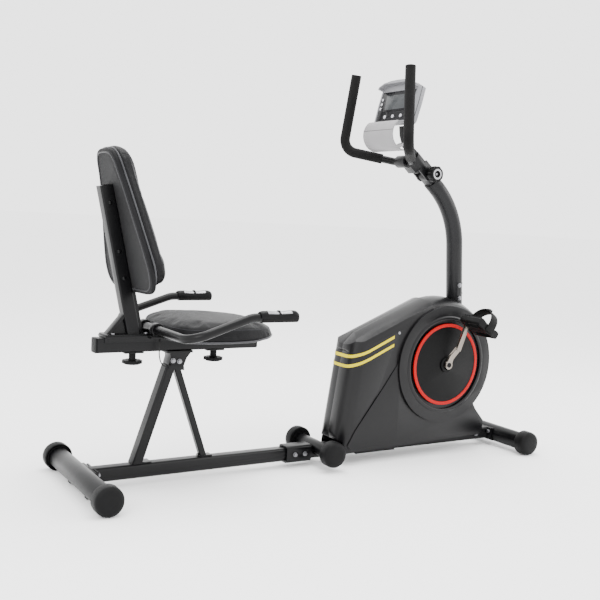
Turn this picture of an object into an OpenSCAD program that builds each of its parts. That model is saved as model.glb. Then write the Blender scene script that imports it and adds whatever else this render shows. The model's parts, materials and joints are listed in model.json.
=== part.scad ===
// Recumbent exercise bike: open A-frame rear, adjustable seat, enclosed flywheel drive.
// Millimetres. X forward, Y to the rider's left, Z up. Origin: centre of the footprint, on the floor.

/* [Base] */
// distance between the rear and the front stabiliser
base_len = 1547; // [1490:1:1640]
// overall length of the rear stabiliser with its end caps
rear_w = 500; // [440:1:560]
// overall length of the front stabiliser with its end caps
front_w = 410; // [360:1:480]
// overall width across the two transport wheels
mid_w = 262; // [240:1:300]
// diameter of the end caps and the transport wheels
cap_d = 82; // [76:1:88]
// diameter of the stabiliser tubes
stab_d = 60; // [54:1:62]

/* [Seat] */
// height of the underside of the seat rail
rail_z = 390; // [375:1:410]
// length of the seat rail
rail_len = 496; // [480:1:530]
// lean of the backrest away from upright, degrees
back_lean = 12.8; // [10:0.1:16]
// distance between the two side grips, centre to centre
grip_span = 552; // [530:1:590]
// height of the side grips above the floor
grip_z = 517; // [508:1:530]

/* [Drive] */
// length of each crank arm, axle centre to pedal spindle
crank_len = 152; // [140:1:165]
// height of the crank axle
crank_z = 318; // [305:1:330]
// crank angle from straight up, toes forward positive, degrees
crank_rest = 21; // [10:1:40]
// radius of the rotating side disc
disc_r = 140; // [125:1:145]
// radius of the flywheel
fly_r = 116; // [95:1:120]

/* [Mast] */
// height of the tilt hinge
hinge_z = 958; // [920:1:1000]
// diameter of the mast tube
mast_d = 56; // [50:1:58]
// distance between the two upright handlebar grips at the top
bar_top_w = 290; // [270:1:320]

/* [Fits] */
// radial clearance of parts that turn or slide on each other
run_fit = 0.06; // [0.03:0.01:0.09]
// gap between parts that are bolted together
seat_gap = 0.2; // [0.1:0.05:0.3]

/* [Hidden] */
$fn = 64;
eps = 0.01;

xr = -base_len/2;            // rear stabiliser
xf = base_len/2;             // front stabiliser
cap_r = cap_d/2;
st_r = stab_d/2;
zst = cap_r;                 // stabiliser axis height
cap_l = 45;                  // length of an end cap

// ---------- small helpers ----------
function unit(v) = v/norm(v);
function grow(p,g) = [for (i=[0:len(p)-1]) let(a=p[(i+len(p)-1)%len(p)], b=p[i], c=p[(i+1)%len(p)],
  u=unit(b-a), v=unit(c-b), n=[u[1],-u[0]], m=[v[1],-v[0]], w=n+m, k=2/(w*w)) b+w*k*g];

// rounded rectangle centred on the origin
module rrect(w,h,r) {
  square([w-2*r,h],center=true); square([w,h-2*r],center=true);
  for (i=[-1,1], j=[-1,1]) translate([i*(w/2-r),j*(h/2-r)]) circle(r=r,$fn=32);
}
// box tube along +X, w across Y, h up
module box_tube(l,w,h,r,t=2) {
  rotate([90,0,90]) linear_extrude(l) difference() {
    rrect(w,h,r); rrect(w-2*t,h-2*t,max(r-t,1));
  }
}
module box_bar(l,w,h,r) { rotate([90,0,90]) linear_extrude(l) rrect(w,h,r); }
// round bar between two points
module rod(a,b,d) {
  v=b-a; translate(a) rotate([0,acos(v[2]/norm(v)),atan2(v[1],v[0])]) cylinder(d=d,h=norm(v));
}
// round bar along a polyline with bent corners; r is one bend radius, or one for each point
// the bends are a hair fatter than the straights, which run a little way into them
module pipe(p,r,d) {
  n=len(p); rr=[for(i=[0:n-1]) is_list(r)?r[i]:r];
  tl=[for(i=[0:n-1]) (i==0||i==n-1)?0:rr[i]*tan(acos(unit(p[i]-p[i-1])*unit(p[i+1]-p[i]))/2)];
  for(i=[0:n-2]) let(u=unit(p[i+1]-p[i]), e=i==0?0:lap, f=i==n-2?0:lap)
    rod(p[i]+u*(tl[i]-e),p[i+1]-u*(tl[i+1]-f),d);
  for(i=[1:n-2]) let(u=unit(p[i]-p[i-1]), v=unit(p[i+1]-p[i]), m=unit(v-(u*v)*u),
      c=p[i]-u*tl[i]+m*rr[i], w=cross(-m,u))
    multmatrix([[-m[0],u[0],w[0],c[0]],[-m[1],u[1],w[1],c[1]],[-m[2],u[2],w[2],c[2]],[0,0,0,1]])
      rotate_extrude(angle=acos(u*v)) translate([rr[i],0]) circle(d=d+0.2);
}
lap = 1.5;
// extrude a profile drawn in X and Z from y0 to y1
module xz(y0,y1) { translate([0,y1,0]) rotate([90,0,0]) linear_extrude(y1-y0) children(); }
// cylinder along Y
module ycyl(x,z,r,y0,y1,a=0) { translate([x,y0,z]) rotate([0,a,0]) rotate([-90,0,0]) cylinder(r=r,h=y1-y0); }

// ---------- stabilisers ----------
// domed end cap, axis Z, open end at 0, socket for a tube
module cap(bore,depth) {
  rotate_extrude() polygon([[bore,2],[bore+3,2],[bore+3,9],[cap_r-3.5,9],[cap_r-3.5,0],[cap_r-1.5,0],
    [cap_r,3],[cap_r,27],[cap_r-0.6,33],[cap_r-2.6,38],[cap_r-6.5,41.6],[cap_r-13,43.8],
    [cap_r-24,44.8],[0,45],[0,depth],[bore,depth]]);
}
module two_caps(x,w) {
  for (s=[-1,1]) translate([x,s*(w/2-cap_l),zst]) rotate([-s*90,0,0]) cap(st_r+seat_gap/2,37);
}
module stab_tube(x,w) {
  difference() {
    ycyl(x,zst,st_r,-w/2+8.5,w/2-8.5);
    ycyl(x,zst,st_r-2,-w/2,w/2);
    shanks(0.1);
  }
}
module rear_stabiliser() { color("#2b2b2c") stab_tube(xr,rear_w); }
module front_stabiliser() { color("#2b2b2c") stab_tube(xf,front_w); }
module rear_feet() {
  color("#222223") two_caps(xr,rear_w);
  color("#171717") for (s=[-1,1]) difference() {
    translate([xr-9,s*75-11,2]) cube([18,22,16]);
    ycyl(xr,zst,st_r+seat_gap/2,-200,200);
  }
}
module front_feet() { color("#222223") two_caps(xf,front_w); }

// ---------- frame bolts ----------
rail_c = 43;                 // height of the lower rail centre
sleeve0 = xr+655; sleeve1 = xr+745;
nx = xr+268;                 // seat post neck
// position, direction the head faces, shank length
BOLTS = [
  [[xr+36,-36,zst+10],[0,90,0],16], [[xr+36,36,zst+10],[0,90,0],16],
  [[sleeve0+30,-26.1,rail_c],[90,0,0],12], [[sleeve0+66,-26.1,rail_c],[90,0,0],12],
  [[sleeve0+30,26.1,rail_c],[-90,0,0],12], [[sleeve0+66,26.1,rail_c],[-90,0,0],12],
  [[xf-36,-28,zst+10],[0,-90,0],16], [[xf-36,28,zst+10],[0,-90,0],16],
  [[xf-90,-20.1,rail_c],[90,0,0],8], [[xf-90,20.1,rail_c],[-90,0,0],8],
  [[nx-13,-22.1,rail_z-28],[90,0,0],14], [[nx+7,-22.1,rail_z-31],[90,0,0],14],
  [[nx-13,22.1,rail_z-28],[-90,0,0],14], [[nx+7,22.1,rail_z-31],[-90,0,0],14]
];
module at(l) { for (b=l) translate(b[0]) rotate(b[1]) { $len=b[2]; children(); } }
module bolt() {
  cylinder(d=15,h=1.6); translate([0,0,1.6]) cylinder(d=12.5,h=5,$fn=6);
  translate([0,0,-$len]) cylinder(d=8,h=$len);
}
module shanks(g) { at(BOLTS) translate([0,0,-$len-0.5]) cylinder(d=8+2*g,h=$len+0.6); }
module bolts() {
  color("#8d8f92") { at(BOLTS) bolt(); at(MAST_BOLTS) bolt(); }
}

// ---------- rear lower rail ----------
rail_w = 40; rail_h = 42;
module lower_rail() {
  color("#1d1d1f") difference() {
    union() {
      translate([xr+24,0,rail_c]) box_tube(sleeve1-9-(xr+24),rail_w,rail_h,9);
      intersection() {
        difference() { ycyl(xr,zst,st_r+5,-56,56); ycyl(xr,zst,st_r+seat_gap,-60,60); }
        translate([xr+8,-56,zst-24]) cube([60,112,46]);
      }
      translate([xr+st_r+1,-46,zst-20]) cube([5,92,42]);
    }
    ycyl(xr,zst,st_r+seat_gap,-80,80);
    shanks(0.1);
  }
}

// ---------- front frame ----------
cx = xf-308.5; cz = crank_z;           // crank axle
fx = xf-560; fz = 200;                 // flywheel spindle
mlean = 4.9;                           // lean of the lower mast
mx0 = xf-222.5; mz0 = 541.6;           // a point on the mast axis
function mast_x(z) = mx0-(z-mz0)*tan(mlean);
sock_d = mast_d-6;                     // spigot inside the mast tube
ear_y = 26; ear_t = 6;
belt_y0 = 38; belt_y1 = 50;
pul_r = 104; hub_r = 17; belt_t = 3;
bd = unit([cx-fx,cz-fz]); bl = norm([cx-fx,cz-fz]); bs = (pul_r-hub_r)/bl;
bp = [-bd[1],bd[0]];
nlo = -bs*bd-sqrt(1-bs*bs)*bp; nhi = -bs*bd+sqrt(1-bs*bs)*bp;
function tang(k,n,g) = k==0 ? [fx,fz]+n*(hub_r+g) : [cx,cz]+n*(pul_r+g);
idl_r = 18;
ic = (tang(0,nlo,0)*0.45+tang(1,nlo,0)*0.55)+nlo*(belt_t+1+idl_r);
mgp = [fx+98,fz+132];                  // magnet bracket pivot
mid_z = 56;                            // height of the transport wheel axle
mid_x = 1;
mid_r = 22;

module base_frame() {
  color("#1d1d1f") difference() {
    union() {
      // sleeve over the rear rail
      translate([sleeve0,0,rail_c]) difference() {
        box_bar(sleeve1-sleeve0,52,54,10);
        translate([-1,0,0]) box_bar(sleeve1-sleeve0-7,rail_w+2*seat_gap,rail_h+2*seat_gap,9);
      }
      translate([sleeve1-1,0,rail_c]) box_bar(xf-24-sleeve1,rail_w,rail_h,8);
      // saddle on the front stabiliser
      intersection() {
        difference() { ycyl(xf,zst,st_r+5,-40,40); ycyl(xf,zst,st_r+seat_gap,-60,60); }
        translate([xf-68,-40,zst-24]) cube([60,80,46]);
      }
      translate([xf-st_r-6,-36,zst-20]) cube([5,72,42]);
      // post up to the mast spigot
      difference() {
        rod([mast_x(rail_c),0,rail_c],[mast_x(mz0+60),0,mz0+60],sock_d-0.6);
        rod([mast_x(rail_c),0,rail_c],[mast_x(mz0+70),0,mz0+70],sock_d-8);
      }
      rod([mast_x(470),0,470],[mast_x(482),0,482],mast_d+4);
      // crank shell and its strut
      ycyl(cx,cz,24,-48,32);
      difference() {
        translate([cx,-15,cz-22]) cube([mast_x(cz)-cx,30,44]);
        rod([mast_x(rail_c),0,rail_c],[mast_x(mz0+70),0,mz0+70],sock_d-8);
      }
      // flywheel ears
      for (s=[-1,1]) xz(s>0?ear_y:-ear_y-ear_t, s>0?ear_y+ear_t:-ear_y)
        polygon([[fx-70,rail_c],[fx+90,rail_c],[fx+26,fz-10],[mgp[0]+16,mgp[1]],[mgp[0],mgp[1]+16],
          [mgp[0]-16,mgp[1]],[fx+10,fz+24],[fx-18,fz+22],[fx-24,fz-8]]);
      for (s=[-1,1]) translate([fx-70,s>0?15:-ear_y-ear_t,rail_c-19]) cube([160,17,20]);
      // idler arm
      xz(ear_y,ear_y+ear_t) polygon([[fx+20,fz-60],[fx+52,fz-96],[ic[0]+14,ic[1]-10],[ic[0]+12,ic[1]+12],
        [ic[0]-10,ic[1]+12]]);
      ycyl(ic[0],ic[1],6,ear_y,belt_y1-1);
      // motor bracket
      translate([mast_x(100)-104,-18,60]) cube([50,36,8]);
    }
    // holes
    ycyl(cx,cz,20,-60,40);
    for (s=[0]) { ycyl(fx,fz,8+run_fit,-40,40); ycyl(mgp[0],mgp[1],5+run_fit,-40,40); }
    ycyl(mid_x,mid_z,mid_r+seat_gap,-60,60);
    ycyl(xf,zst,st_r+seat_gap,-60,60);
    shanks(0.1);
    at(MAST_BOLTS) translate([0,0,-$len-1]) cylinder(d=8.2,h=$len+1);
  }
}
module mid_stabiliser() {
  color("#1d1d1f") union() {
    ycyl(mid_x,mid_z,mid_r,-mid_w/2+42,mid_w/2-42);
    ycyl(mid_x,mid_z,6,-mid_w/2+9,mid_w/2-9);
  }
}
module trans_wheel() {
  // axis Z, inner face at 0
  rotate_extrude() polygon([[6+run_fit,0],[16,0],[16,3],[cap_r-8,3],[cap_r-6,0],[cap_r-1,0],[cap_r,2],
    [cap_r,24],[cap_r-1,30],[cap_r-4,35],[cap_r-9,38.4],[cap_r-18,40],[0,40.6],[0,33],[6+run_fit,33]]);
}
module wheel_right() { color("#242425") translate([mid_x,-mid_w/2+41,mid_z]) rotate([90,0,0]) trans_wheel(); }
module wheel_left() { color("#242425") translate([mid_x,mid_w/2-41,mid_z]) rotate([-90,0,0]) trans_wheel(); }

module bb_bearings() {
  color("#9a9ca0") for (y=[-48,20]) difference() {
    ycyl(cx,cz,20,y,y+12); ycyl(cx,cz,9+run_fit,y-1,y+13);
  }
}
module belt() {
  color("#111111") xz(belt_y0+1,belt_y1-1) difference() {
    union() {
      translate([cx,cz]) circle(r=pul_r+0.3+belt_t,$fn=128); translate([fx,fz]) circle(r=hub_r+0.3+belt_t);
      polygon([tang(0,nlo,0.3+belt_t),tang(1,nlo,0.3+belt_t),tang(1,nhi,0.3+belt_t),tang(0,nhi,0.3+belt_t)]);
    }
    translate([cx,cz]) circle(r=pul_r+0.3,$fn=128); translate([fx,fz]) circle(r=hub_r+0.3);
    polygon([tang(0,nlo,0.3),tang(1,nlo,0.3),tang(1,nhi,0.3),tang(0,nhi,0.3)]);
  }
}
module tension_motor() {
  color("#3a3a3c") union() {
    translate([mast_x(100)-100,-16,68.1]) cube([42,32,46]);
    ycyl(mast_x(100)-79,96,9,-24,-15);
  }
}

// ---------- seat post ----------
leg_lean = atan(0.329);
brace_lean = atan(0.356);
module seat_post() {
  zt = rail_z-seat_gap;
  color("#1b1b1d") difference() {
    union() {
      intersection() {
        translate([nx-(rail_z-20)*tan(leg_lean)*0+0,0,rail_z-40]) rotate([0,leg_lean,0])
          translate([-14.5,0,-360]) rotate([0,-90,180]) box_bar_z(420,40,29,5);
        translate([xr+60,-30,rail_c+rail_h/2-0.1+seat_gap]) cube([400,60,rail_z-62-rail_c]);
      }
      intersection() {
        translate([nx+16,0,rail_z-48]) rotate([0,-brace_lean,0])
          translate([-10,0,-330]) rotate([0,-90,180]) box_bar_z(360,22,20,4);
        translate([xr+200,-30,rail_c+rail_h/2-0.1+seat_gap]) cube([400,60,rail_z-62-rail_c]);
      }
      // neck and head plate
      xz(-22,22) polygon([[nx-26,rail_z-52],[nx+24,rail_z-58],[nx+22,rail_z-44],[nx+30,rail_z-22],
        [nx+42,rail_z-7],[nx+42,zt-0.1],[nx-24,zt-0.1],[nx-20,rail_z-18],[nx-25,rail_z-36]]);
      translate([nx-32,-24,zt-6]) cube([80,48,6]);
      // feet welded to the rail
      translate([xr+160,-18,rail_c+rail_h/2+seat_gap]) cube([42,36,4]);
      translate([xr+362,-14,rail_c+rail_h/2+seat_gap]) cube([36,28,4]);
    }
    shanks(0.1);
  }
}
// bar along +X, w across Y, h up, drawn so that it can be stood on end
module box_bar_z(l,w,h,r) { rotate([90,0,90]) translate([0,h/2-h,0]) linear_extrude(l) translate([0,h/2]) rrect(w,h,r); }

// ---------- seat rail ----------
rl0 = xr+30; rl1 = rl0+rail_len;
zs = rail_z+rail_h;              // top of the seat rail
kx1 = xr+139; kx2 = xr+393.5;    // clamp knobs
slide_b = 30; slide_f = 60;
module slot(x,w) {
  for (z=[0]) translate([0,0,0]) linear_extrude(200,center=true) union() {
    translate([x-slide_b-2,-w/2]) square([slide_b+slide_f+4,w]);
    translate([x-slide_b-2,0]) circle(d=w); translate([x+slide_f+2,0]) circle(d=w);
  }
}
module seat_rail() {
  color("#1d1d1f") difference() {
    translate([rl0,0,rail_z+rail_h/2]) box_tube(rail_len,rail_w,rail_h,5,2.5);
    for (x=[kx1,kx2]) translate([0,0,rail_z]) slot(x,11);
  }
}
module rail_plugs() {
  color("#151516") for (e=[0,1]) translate([e?rl1+seat_gap:rl0-seat_gap,0,rail_z+rail_h/2])
    mirror([e?1:0,0,0]) union() {
      translate([-5,0,0]) box_bar(5,rail_w,rail_h,6);
      translate([-eps,0,0]) box_bar(14,rail_w-5.6,rail_h-5.6,3);
    }
}

// ---------- seat carriage and backrest ----------
zc = zs+seat_gap+6;              // top of the carriage plate
boss_d = 22;                     // boss round each clamp knob's thread
hx0 = xr+190; hz0 = rail_z+67;   // cross tube of the side handles
tube_r = 12;
module seat_carriage() {
  color("#1b1b1d") difference() {
    union() {
      translate([xr+48,-32,zs+seat_gap]) cube([422,64,6]);
      for (s=[-1,1]) translate([xr+48,s>0?20.6:-24.6,zs-12]) cube([422,4,12+seat_gap+1]);
      translate([hx0-20,-60,zs+seat_gap]) cube([40,120,6]);
      for (s=[-1,1]) translate([0,s*45,0]) {
        translate([hx0-14,-11,zc-1]) cube([28,22,hz0-zc+1]);
        ycyl(hx0,hz0,tube_r+6,-11,11);
      }
      for (x=[kx1,kx2]) translate([x,0,zs+seat_gap]) cylinder(d=boss_d,h=9);
    }
    ycyl(hx0,hz0,tube_r+run_fit,-80,80);
    for (x=[kx1,kx2]) translate([x,0,zs-5]) cylinder(r=5+run_fit,h=20);
    seat_shanks(0.1);
  }
}
module clamp_plates() {
  color("#2a2a2b") for (x=[kx1,kx2]) difference() {
    translate([x-28,-17,rail_z-4-seat_gap]) cube([56,34,4]);
    translate([x,0,rail_z-10]) cylinder(r=5+run_fit,h=12);
  }
}
module knob(x) {
  difference() {
    union() {
      translate([x,0,rail_z-34]) cylinder(d=57,h=9);
      translate([x,0,rail_z-36.5]) cylinder(d=44,h=3);
      translate([x,0,rail_z-26]) cylinder(d=24,h=4);
      translate([x,0,rail_z-24]) cylinder(d=20,h=19.4);
      translate([x,0,rail_z-10]) cylinder(r=5,h=zs+seat_gap+4-rail_z+10);
    }
    for (a=[0:60:300]) translate([x,0,rail_z-40]) rotate(a) translate([33,0,0]) cylinder(d=15,h=18);
  }
}
module rear_knob() { color("#19191a") knob(kx1); }
module front_knob() { color("#19191a") knob(kx2); }

// frame of the leaning back: u up the back, n toward the rider
bk = [xr+116.5,0,zs+6.4];
up_d = 38;
module back() { translate(bk) rotate([0,-back_lean,0]) children(); }
// outline of the back pad, half width and height up the back
BACK = [[0,518],[32,517],[53,511],[68,499],[78,481],[90,438],[107,390],[126,340],[144,292],[161,246],
  [172,216],[177,196],[175,178],[166,162],[149,151],[122,146],[0,143]];
// the board reaches lower than the cushion
BOARD = [for (p=BACK) p[1]<250 ? [p[0]-1,p[1]-24*(250-p[1])/107] : [p[0]-1,p[1]]];
function mirror_pts(p) = concat(p,[for(i=[len(p)-2:-1:1]) [-p[i][0],p[i][1]]]);
module back_slab(n0,n1,g=0,p=BACK) {
  back() translate([n0,0,0]) rotate([90,0,90]) linear_extrude(n1-n0) polygon(grow(mirror_pts(p),g));
}
module back_upright() {
  color("#1a1a1c") difference() {
    union() {
      intersection() {
        back() translate([0,0,-40]) rotate([0,-90,0]) translate([0,0,-up_d]) stood(460,40,up_d,5);
        translate([xr-60,-40,zc]) cube([300,80,700]);
      }
      // front stiffener under the pad
      intersection() {
        back() translate([up_d-1,-16,-30]) cube([9,32,146]);
        translate([xr-60,-40,zc]) cube([300,80,700]);
      }
      // rear brace, gusset and base plate
      intersection() {
        translate([xr+52,-14,zc-2]) rotate([0,40,0]) cube([9,28,110]);
        translate([xr+30,-40,zc]) cube([300,80,110]);
      }
      xz(-3,3) polygon([[xr+66,zc],[bk[0]+10,zc],[bk[0]+4,zc+66]]);
      translate([xr+50,-30,zc]) cube([126,60,4]);
    }
    // the mast of the back is hollow
    back() translate([3,-17,100]) cube([up_d-6,34,290]);
    translate([kx1,0,zc-1]) cylinder(d=boss_d+2*seat_gap,h=4+seat_gap);
    seat_shanks(0.1);
  }
}
module stood(l,w,h,r) { linear_extrude_x(l) rrect(h,w,r); }
module linear_extrude_x(l) { rotate([0,90,0]) translate([0,0,0]) linear_extrude(l) translate([-up_d/2,0]) children(); }

module back_board() { color("#3a3a3c") back_slab(up_d+seat_gap,up_d+14,0,BOARD); }
module back_cushion() {
  color("#232325") union() { back_slab(up_d+14.3,up_d+40,1); back_slab(up_d+39,up_d+50,-16); }
}

// ---------- seat ----------
SEAT = [[208,0],[211,60],[218,105],[234,145],[262,172],[305,187],[360,190],[415,182],[460,167],[496,145],
  [520,120],[534,96],[541,70],[546,36],[547,0]];
function seat_pts() = [for (p=concat(SEAT,[for(i=[len(SEAT)-2:-1:1]) [SEAT[i][0],-SEAT[i][1]]])) [xr+p[0],p[1]]];
module seat_plan(g,z0,z1) { translate([0,0,z0]) linear_extrude(z1-z0) polygon(grow(seat_pts(),-g)); }
sb = zs+0.6;
module seat_pan() {
  color("#171718") difference() {
    intersection() {
      seat_plan(-3,zc-4,zc+60);
      xz(-220,220) polygon([[xr+200,zc-3.8],[xr+430,zc-3.8],[xr+480,zc-1],[xr+590,zc+7],[xr+590,zc+21],
        [xr+480,zc+14],[xr+430,zc+11],[xr+200,zc+11]]);
    }
    // underside, hollowed inside the rim
    intersection() {
      seat_plan(9,zc-10,zc+30);
      xz(-220,220) polygon([[xr+200,zc-9],[xr+590,zc-9],[xr+590,zc+12],[xr+480,zc+3.4],[xr+430,zc+0.2],[xr+200,zc+0.2]]);
    }
    seat_shanks(0.1);
    translate([kx2,0,zs]) cylinder(d=24,h=30);
    translate([hx0-22,-62,zs-2]) cube([44,124,60]);
  }
}
module seat_cushion() {
  color("#2b2b2d") difference() {
    intersection() {
      seat_plan(0,sb,sb+90);
      xz(-220,220) polygon([[xr+200,zc+11.3],[xr+430,zc+11.3],[xr+480,zc+14.3],[xr+590,zc+21.3],
        [xr+590,zc+32],[xr+545,zc+38],[xr+480,zc+45],[xr+380,zc+50],[xr+270,zc+52],[xr+220,zc+48],[xr+200,zc+40]]);
    }
    translate([hx0-20,-70,zs]) cube([33,140,90]);
  }
}
SEAT_BOLTS = [for (x=[xr+250,xr+330], y=[-20,20]) [[x,y,zc+11.25],[0,0,0],10],
  [[xr+72,-22,zc+4],[0,0,0],9],[[xr+72,22,zc+4],[0,0,0],9],[[xr+168,-24,zc+4],[0,0,0],9],[[xr+168,24,zc+4],[0,0,0],9]];
module seat_shanks(g) { at(SEAT_BOLTS) translate([0,0,-$len]) cylinder(d=6+2*g,h=$len+3); }
module seat_bolts() {
  color("#8d8f92") at([for(i=[4:7]) SEAT_BOLTS[i]]) union() {
    cylinder(d=11,h=4,$fn=6); translate([0,0,-$len+1]) cylinder(d=6,h=$len);
  }
}

// ---------- side handles ----------
ha = 18.5; hb_r1 = 55; hb_r2 = 80;
gy = grip_span/2;
hrun = (grip_z-hz0)/tan(ha);
module side_path(d) {
  pipe([[xr+506,-gy,grip_z],[hx0+hrun,-gy,grip_z],[hx0,-gy,hz0],[hx0,gy,hz0],[hx0+hrun,gy,grip_z],
    [xr+506,gy,grip_z]],[0,hb_r2,hb_r1,hb_r1,hb_r2,0],d);
}
module side_handle() { color("#242426") side_path(2*tube_r); }
grip_r = 14.4;
module handle_grips() {
  color("#1a1a1b") for (s=[-1,1]) difference() {
    translate([xr+396,s*gy,grip_z]) rotate([0,90,0]) cylinder(r=grip_r,h=114);
    translate([xr+395,s*gy,grip_z]) rotate([0,90,0]) cylinder(r=tube_r+run_fit,h=111.2);
  }
}
module x_shell(r0,r1,x0,x1,zlo) {
  difference() {
    translate([x0,0,0]) rotate([0,90,0]) cylinder(r=r1,h=x1-x0);
    translate([x0-1,0,0]) rotate([0,90,0]) cylinder(r=r0,h=x1-x0+2);
    translate([x0-1,-50,-100+zlo]) cube([x1-x0+2,100,100]);
  }
}
module sensor_housings() {
  color("#1c1c1d") for (s=[-1,1]) translate([0,s*gy,grip_z]) union() {
    x_shell(grip_r+run_fit,grip_r+1.6,xr+398,xr+502,-4);
    x_shell(grip_r+run_fit,grip_r+4,xr+398,xr+412,2);
    x_shell(grip_r+run_fit,grip_r+4,xr+488,xr+502,2);
  }
}
module sensor_plates() {
  color("#d0d2d4") for (s=[-1,1]) translate([0,s*gy,grip_z]) union() {
    x_shell(grip_r+1.7,grip_r+3,xr+413,xr+448,4);
    x_shell(grip_r+1.7,grip_r+3,xr+452,xr+487,4);
  }
}

// ---------- mast ----------
hx = xf-386.5;                       // tilt hinge
hd = [-0.766,0,0.6428];              // direction of the upper mast
mcx = mast_x(hinge_z-119.6);
H = [hx,0,hinge_z];
mcorner = let(a=[mast_x(0),0,0], t=tan(mlean), k=0.766/0.6428,
  zz=(mast_x(0)-hx+k*-hinge_z*1+0)/(t-k)) [mast_x(zz),0,zz];
MAST_BOLTS = [
  [[mast_x(585),-mast_d/2,585],[90,0,0],8], [[mast_x(540),-mast_d/2,540],[90,0,0],8],
  [[mast_x(590)+mast_d/2,0,590],[0,90,0],8], [[mast_x(555)+mast_d/2,0,555],[0,90,0],8],
  [[mast_x(585),mast_d/2,585],[-90,0,0],8], [[mast_x(540),mast_d/2,540],[-90,0,0],8]
];
bm_y = 17;
module mast_path(d,z0,cut) {
  pipe([[mast_x(z0),0,z0],mcorner,H-hd*cut],280,d);
}
module mast() {
  color("#2a2a2d") difference() {
    union() {
      difference() { mast_path(mast_d,482.2,34); mast_path(mast_d-5,481,37); }
      translate(H) rotate([0,-50,0]) xz(-bm_y,bm_y) union() { circle(r=22); translate([-19,-40]) square([38,41]); }
    }
    ycyl(hx,hinge_z,6+run_fit,-60,60);
    // spigot of the front frame
    rod([mast_x(481),0,481],[mast_x(mz0+61),0,mz0+61],sock_d);
    at(MAST_BOLTS) translate([0,0,-$len-1]) cylinder(d=8.2,h=$len+1);
    // flats under the bolt heads
    at(MAST_BOLTS) cylinder(d=17,h=20);
  }
}

// ---------- tilting head ----------
cbar = H+[-98,0,35];                 // handlebar centre at the clamp
bar_r = 12.5;
module tilt_head() {
  color("#29292c") difference() {
    union() {
      for (s=[-1,1]) hull_ear(s);
      translate(H+hd*30) rotate([0,-50,0]) cylinder(d=52,h=52);
      // clamp round the bar
      translate([cbar[0],-24,cbar[2]]) rotate([-90,0,0]) cylinder(r=bar_r+8,h=48);
      translate(H+hd*62) rotate([0,-50,0]) translate([-38,-20,-18]) cube([40,40,34]);
      // neck to the console
      difference() {
        xz(-13,13) polygon([[hx-66,hinge_z+60],[hx-96,hinge_z+82],[hx-112,hinge_z+120],[hx-116,hinge_z+150],
          [hx-104,hinge_z+150],[hx-98,hinge_z+122],[hx-80,hinge_z+92],[hx-46,hinge_z+66],[hx-46,hinge_z+50]]);
      }
    }
    ycyl(hx,hinge_z,6+run_fit,-60,60);
    ycyl(cbar[0],cbar[2],bar_r+run_fit,-60,60);
  }
}
module hull_ear(s) {
  y0 = s>0 ? bm_y+0.1 : -bm_y-7.1;
  translate(H) rotate([0,-50,0]) xz(y0,y0+7) union() { circle(r=24); translate([-22.5,-2]) square([45,46]); }
}
module tilt_knob() {
  color("#232326") difference() {
    union() {
      ycyl(hx,hinge_z,27,-58,-40); ycyl(hx,hinge_z,24,-61,-57); ycyl(hx,hinge_z,14,-42,-bm_y-7.3);
      ycyl(hx,hinge_z,6,-50,bm_y+8); ycyl(hx,hinge_z,12,bm_y+7.3,bm_y+15);
    }
    ycyl(hx,hinge_z,11,-62,-55);
    ycyl(hx,hinge_z,4.5,-62,-50);
    for (a=[0:45:315]) ycyl(hx+31*cos(a),hinge_z+31*sin(a),7,-63,-38);
  }
}
bty = bar_top_w/2;
bar_low = [hx-222,178,hinge_z+68];
bar_in = [cbar[0],42,cbar[2]];
bar_top = [hx-207,bty,hinge_z+314];
function my(p) = [p[0],-p[1],p[2]];
module bar_path(d) {
  pipe([my(bar_top),my(bar_low),my(bar_in),bar_in,bar_low,bar_top],45,d);
}
module handlebar() { color("#242426") bar_path(2*bar_r); }
module bar_grips() {
  color("#1c1c1d") difference() {
    for (s=[-1,1]) let(g=[bar_in+(bar_low-bar_in)*0.26,bar_low,bar_top+unit(bar_top-bar_low)*3])
      pipe(s>0?g:[for(q=g) my(q)],45,33);
    bar_path(2*bar_r+2*run_fit);
  }
}

// ---------- console ----------
co = H+[-158,0,166];
module con() { translate(co) rotate([0,15,0]) children(); }
module con_x(x0,x1) { translate([x0,0,0]) rotate([90,0,90]) linear_extrude(x1-x0) children(); }
module console_body() {
  color("#b9bbbe") con() difference() {
    union() {
      con_x(0,30) polygon(grow([[-95,0],[-90,-8],[90,-8],[95,0],[97,60],[95,112],[70,124],[35,129],[0,130],
        [-35,129],[-70,124],[-95,112],[-97,60]],0));
      con_x(-20,4) polygon([[-95,104],[95,104],[95,112],[70,124],[35,129],[0,130],[-35,129],[-70,124],[-95,112]]);
      con_x(29,44) polygon([[-60,0],[60,0],[60,90],[40,110],[-40,110],[-60,90]]);
    }
    con_x(-1,4) polygon([[-88,-4],[88,-4],[90,60],[88,100],[-88,100],[-90,60]]);
    con_x(-30,0.5) polygon([[-90,90],[90,90],[88,110],[66,120],[-66,120],[-88,110]]);
    for (y=[-42,0,42]) con_btn(y,6+run_fit,-5,12);
  }
}
module con_btn(y,r,x0,x1) { translate([x0,y,12]) rotate([0,90,0]) cylinder(r=r,h=x1-x0); }
module console_screen() {
  color("#26282b") con() difference() {
    con_x(0.6,3.8) polygon([[-87.6,-3.6],[87.6,-3.6],[89.6,60],[87.6,99.6],[-87.6,99.6],[-89.6,60]]);
    for (y=[-42,0,42]) con_btn(y,6+run_fit,-5,12);
  }
}
module button(y) { color("#c9cbce") con() con_btn(y,6,-2,8); }
module button_a() { button(42); }
module button_b() { button(0); }
module button_c() { button(-42); }
trc = H+[-160,0,116];
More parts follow.
